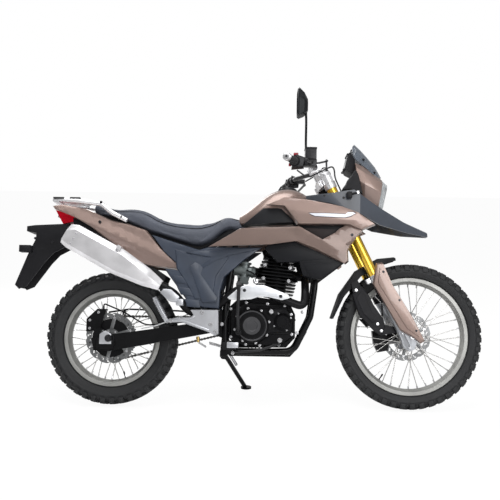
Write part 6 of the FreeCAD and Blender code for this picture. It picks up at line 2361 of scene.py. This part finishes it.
@dataclass
class RearEnd:
    """Swingarm fittings, shock spring, rear caliper and chain adjusters."""

    spring_foot: Point = (392.0, 0.0, 420.0)
    spring_top: Point = (470.0, 0.0, 740.0)

    def shock(self) -> Shape:
        """Damper body, its collars and its mounting eyes."""
        profile = [
            (0, 0), (15, 0), (16, 4), (16, 52), (34, 54), (34, 60), (12, 62), (12, 280), (33, 282), (33, 290),
            (20, 294), (20, 318), (15, 329), (0, 329),
        ]
        return Shape.turned(profile, 28).moved(self.along)

    @property
    def along(self) -> Matrix:
        """The shock's setting, Z from its lower eye."""
        return facing(self.spring_foot, Vector(self.spring_top) - Vector(self.spring_foot))

    def spring(self) -> Shape:
        """Coil spring of the shock."""
        return Shape.coil(28.0, 5.2, 27.5, 8, 24).moved(self.along @ Matrix.Translation((0, 0, 60)))

    def axle_bolts(self) -> Shape:
        """Axle nuts, chain adjuster bolts and lock nuts on both sides.

        Returns:
            The finished shape.
        """
        made = Shape.nut(13.0, 11.0, 7.0).moved(facing((0, -137, REAR_AXLE_HEIGHT), Axis.RIGHT))
        adjuster = Shape.turned(
            [(0, 0), (3.4, 0), (3.4, 22), (7.5, 22), (7.5, 28), (3.4, 28.4), (3.4, 34), (0, 34)], 6,
        )
        made.take(adjuster, facing((-66, -108, 296), Axis.BACK))
        return made.both_sides()

    def adjuster_marks(self) -> Shape:
        """Dark crescent groove of each axle plate."""
        mark = Shape.turned([(21, 0), (26, 0), (26, 1.4), (21, 1.4)], 40, ring=True)
        return mark.moved(facing((0, -128.2, REAR_AXLE_HEIGHT), Axis.RIGHT)).both_sides()

    def caliper_pins(self) -> Shape:
        """Bolts and bleed screw of the rear caliper.

        Returns:
            The finished shape.
        """
        pins = Shape()
        for x, z in ((-100, 360), (-100, 398), (-60, 436)):
            pins.take(Shape.bolt(4.6, 5.0), facing((x, -82, z), Axis.RIGHT))
        return pins.take(
            Shape.turned([(0, 0), (4, 0), (4, 6), (2.6, 7), (2.6, 14), (0, 14)], 10),
            facing((-44, -72, 452), Axis.UP),
        )

    def build(self, dresser: Dresser) -> None:
        """Makes and dresses the rear end.

        Args:
            dresser: puts the pieces on the frame.
        """
        dresser.skin("swingarm", 0.0024)
        dresser.skin("axle_plates", 0.0012, finish="frame_black")
        badge = Shape.plate([(-42, 334), (-16, 350), (12, 336), (14, 288), (-43, 287)], -127, -131.5, 2.0)
        dresser.add("axle_washers", badge.both_sides(), "axle_plates")
        cable = [(150, -128, 362), (205, -132, 371), (266, -136, 393), (322, -134, 416), (384, -128, 436)]
        dresser.add("rear_cable", Shape.hose(cable, 2.8), "swingarm", "sheath_silver")
        carrier = Shape.turned([(26, -1.4), (90, -1.4), (90, 1.4), (26, 1.4)], 64, ring=True)
        place = BIKE @ facing((0, -62, REAR_AXLE_HEIGHT), Axis.RIGHT)
        dresser.add("rear_disc_carrier", carrier, "rear_disc", "frame_black", place)
        dresser.skin("rear_caliper", 0.0014)
        dresser.add("shock_damper", self.shock(), "rear_shock", None, replaces=True)
        dresser.add("shock_spring", self.spring(), "rear_shock", "spring_steel")
        dresser.add("rear_axle_bolts", self.axle_bolts(), "axle_plates", "dark_bolt")
        dresser.add("axle_marks", self.adjuster_marks(), "axle_plates", "cap_black")
        dresser.add("rear_caliper_pins", self.caliper_pins(), "rear_caliper", "bolt_steel")


@dataclass
class FootGear:
    """Peg teeth, plate bolts, lever rubbers and the side stand's spring."""

    peg_reach: float = 262.0
    peg_ahead: float = 583.0
    peg_height: float = 292.0

    def teeth(self) -> Shape:
        """Serrated edges of the rider pegs.

        Returns:
            The finished shape.
        """
        made = Shape()
        for index in range(12):
            y = -174 - index * 7.6
            for x in (-27, 22):
                low = (self.peg_ahead + x, y - 2.2, self.peg_height + 8)
                made.take(Shape.block(low, (low[0] + 7, y + 2.2, self.peg_height + 17), 1.2))
        return made.both_sides()

    def peg_ends(self) -> Shape:
        """Bright end plates of the rider pegs."""
        low = (self.peg_ahead - 25, -self.peg_reach - 2, self.peg_height - 10)
        return Shape.block(
            low, (self.peg_ahead + 27, -self.peg_reach + 4, self.peg_height + 16), 4.0,
        ).both_sides()

    def plate_bolts(self) -> Shape:
        """Bolts and pressed grooves of the passenger peg plates.

        Returns:
            The finished shape.
        """
        made = Shape()
        for x, z in ((436, 440), (477, 387), (500, 352), (292, 400)):
            made.take(Shape.bolt(7.0, 5.0), facing((x, -162.5, z), Axis.RIGHT))
        return made.both_sides()

    def plate_ribs(self) -> Shape:
        """Raised ribs along the passenger peg plates' arms.

        Returns:
            The finished shape.
        """
        upper = Shape.plate(
            [(300, 405), (388, 408), (404, 420), (402, 426), (384, 416), (300, 411)], -161, -165, 1.0,
        )
        lower = Shape.plate(
            [(290, 396), (344, 399), (470, 356), (470, 364), (346, 406), (290, 402)], -161, -166, 1.2,
        )
        return upper.take(lower).both_sides()

    def folded_pegs(self) -> Shape:
        """Ribbed rubber of the folded passenger pegs.

        Returns:
            The finished shape.
        """
        along = Vector((212, -150, 508)) - Vector((272, -146, 398))
        made = Shape()
        for index in range(11):
            ring = Shape.turned([(11.2, 0), (14, 0.6), (14, 4.2), (11.2, 5)], 18, ring=True)
            made.take(ring, Matrix.Translation((0, 0, 18 + index * 9)))
        return made.moved(facing((272, -146, 398), along)).both_sides()

    def lever_rubbers(self) -> Shape:
        """Ribbed rubbers on the gear lever and the kick pedal.

        Returns:
            The finished shape.
        """
        toe = Shape.turned(
            [
                (9.3, 0), (12, 0), (12, 4), (11, 5), (12, 6), (12, 14), (11, 15), (12, 16), (12, 30),
                (10, 32), (9.3, 32),
            ],
            20, ring=True,
        )
        made = toe.moved(facing((756, 136, 318), Axis.LEFT))
        made.take(
            Shape.turned(
                [(10.3, 0), (13, 0), (13, 5), (12, 6), (13, 7), (13, 18), (10.3, 20)], 20, ring=True,
            ),
            facing((606, -190, 567), (0, -0.94, 0.34)),
        )
        return made

    def stand_spring(self) -> Shape:
        """Return spring of the side stand, along its leg.

        Returns:
            The finished shape.
        """
        foot, pivot = Vector((640, 318, 63.2)), Vector((530, 132, 246))
        way = (foot - pivot).normalized()
        start = pivot + way * 24 + Vector((20, 0, 10))
        return Shape.coil(6.0, 1.5, 3.4, 24, 12).moved(facing(start, way))

    def build(self, dresser: Dresser) -> None:
        """Makes and dresses the pegs, levers and stand.

        Args:
            dresser: puts the pieces on the frame.
        """
        for node in ("rider_pegs", "passenger_pegs", "foot_levers", "side_stand"):
            dresser.skin(node, 0.0014)
        dresser.add("peg_teeth", self.teeth(), "rider_pegs", "lever_steel")
        dresser.add("peg_ends", self.peg_ends(), "rider_pegs", "peg_alloy")
        dresser.add("peg_plate_bolts", self.plate_bolts(), "passenger_pegs", "bolt_steel")
        dresser.add("peg_plate_ribs", self.plate_ribs(), "passenger_pegs", "peg_alloy")
        dresser.add("folded_peg_ribs", self.folded_pegs(), "passenger_pegs", "peg_alloy")
        dresser.add("lever_rubbers", self.lever_rubbers(), "foot_levers", "grip_rubber")
        dresser.add("stand_spring", self.stand_spring(), "side_stand", "bolt_steel")


@dataclass
class Studio:
    """Camera, floor and soft lights."""

    lens: float = 55.73
    camera_place: Point = (0.048, -3.827, 1.137)
    pitch: float = 6.03
    roll: float = 0.84
    yaw: float = -0.67
    lamp_power: float = 84.0

    def camera(self) -> None:
        """The photograph's own view."""
        pitch, roll, yaw = (math.radians(angle) for angle in (self.pitch, self.roll, self.yaw))
        ahead = Vector((math.sin(yaw) * math.cos(pitch), math.cos(yaw) * math.cos(pitch), -math.sin(pitch)))
        level = Vector((math.cos(yaw), -math.sin(yaw), 0.0))
        rise = level.cross(ahead)
        right = level * math.cos(roll) + rise * math.sin(roll)
        top = rise * math.cos(roll) - level * math.sin(roll)
        data = bpy.data.cameras.new("view")
        data.lens, data.sensor_width = self.lens, 36.0
        camera = bpy.data.objects.new("view", data)
        turn = Matrix((right, top, -ahead)).transposed().to_4x4()
        camera.matrix_world = Matrix.Translation(self.camera_place) @ turn
        bpy.context.scene.collection.objects.link(camera)
        bpy.context.scene.camera = camera

    def floor(self) -> None:
        """A pale floor that keeps the shadow."""
        mesh = bmesh.new()
        bmesh.ops.create_grid(mesh, x_segments=1, y_segments=1, size=30.0)
        data = bpy.data.meshes.new("floor")
        mesh.to_mesh(data)
        mesh.free()
        graph = Graph("floor_white")
        speckle = graph.noise(3.0, 2.0)
        paint = graph.surface(
            base_color=graph.tint(speckle, (0.86, 0.86, 0.86), (0.9, 0.9, 0.9)), roughness=0.9,
        )
        glow = graph.node("ShaderNodeEmission", {}, {"Color": (1.0, 1.0, 1.0), "Strength": 1.04})
        rays = graph.node("ShaderNodeLightPath", output="Is Camera Ray")
        blend = graph.node("ShaderNodeMixShader", {}, {0: rays * 0.9, 1: paint, 2: glow})
        graph.tree.links.new(blend.socket, graph.output.inputs["Surface"])
        data.materials.append(graph.material)
        floor = bpy.data.objects.new("floor", data)
        bpy.context.scene.collection.objects.link(floor)

    def world(self) -> None:
        """White seen by the camera and in reflections, plain grey light elsewhere."""
        world = bpy.data.worlds.new("studio")
        bpy.context.scene.world = world
        world.use_nodes = True
        tree = world.node_tree
        tree.nodes.clear()
        path = tree.nodes.new("ShaderNodeLightPath")
        seen = tree.nodes.new("ShaderNodeMath")
        seen.operation = "MAXIMUM"
        tree.links.new(path.outputs["Is Camera Ray"], seen.inputs[0])
        tree.links.new(path.outputs["Is Transmission Ray"], seen.inputs[1])
        strength = tree.nodes.new("ShaderNodeMapRange")
        tree.links.new(seen.outputs[0], strength.inputs["Value"])
        strength.inputs["To Min"].default_value = 0.4
        strength.inputs["To Max"].default_value = 1.0
        back = tree.nodes.new("ShaderNodeBackground")
        back.inputs["Color"].default_value = (1.0, 1.0, 1.0, 1.0)
        tree.links.new(strength.outputs[0], back.inputs["Strength"])
        output = tree.nodes.new("ShaderNodeOutputWorld")
        tree.links.new(back.outputs[0], output.inputs["Surface"])

    def lamp(self, name: str, place: Point, target: Point, size: float, power: float) -> None:
        """One soft rectangular light that faces the target.

        Args:
            name: the light's name.
            place: where it stands.
            target: the point that it faces.
            size: its width and height.
            power: its power in watts.
        """
        data = bpy.data.lights.new(name, "AREA")
        data.shape, data.size, data.energy = "SQUARE", size, power
        lamp = bpy.data.objects.new(name, data)
        aim = Vector(target) - Vector(place)
        lamp.matrix_world = Matrix.Translation(place) @ aim.to_track_quat("-Z", "Y").to_matrix().to_4x4()
        bpy.context.scene.collection.objects.link(lamp)

    def build(self) -> None:
        """Sets up the view, the floor and the lights."""
        self.camera()
        self.floor()
        self.world()
        self.lamp("top_light", (-0.4, -0.8, 3.4), (0.0, 0.0, 0.6), 2.6, self.lamp_power)
        self.lamp("side_light", (1.6, -3.2, 2.0), (0.1, 0.0, 0.6), 1.8, self.lamp_power * 0.6)
        self.lamp("far_light", (-1.5, 3.0, 2.2), (0.0, 0.0, 0.7), 2.0, self.lamp_power * 0.5)


def main() -> None:
    """Builds the studio and every piece, in order."""
    logging.basicConfig(level=logging.INFO, format="%(name)s: %(message)s")
    bpy.context.scene.view_settings.view_transform = "Standard"
    Studio().build()
    dresser = Dresser()
    front = Wheel(
        "front", (WHEELBASE, 0.0, FRONT_AXLE_HEIGHT), 347.5, 90.0, 266.7, 54.0, 9.0, 46, 56.0,
        valve_at=math.radians(214),
    )
    rear = Wheel(
        "rear", (0.0, 0.0, REAR_AXLE_HEIGHT), 315.0, 114.0, 215.9, 72.0, 11.0, 42, -62.0,
        valve_at=math.radians(161),
    )
    for assembly in (
        front, rear, FinalDrive(), ForkTrim(), Controls(), FrontBodywork(), TankPanels(), EngineTrim(),
        ExhaustTrim(), TailTrim(), SeatPad(), RearEnd(), FootGear(),
    ):
        assembly.build(dresser)
    dresser.skin_rest()


if __name__ == "__main__":
    main()
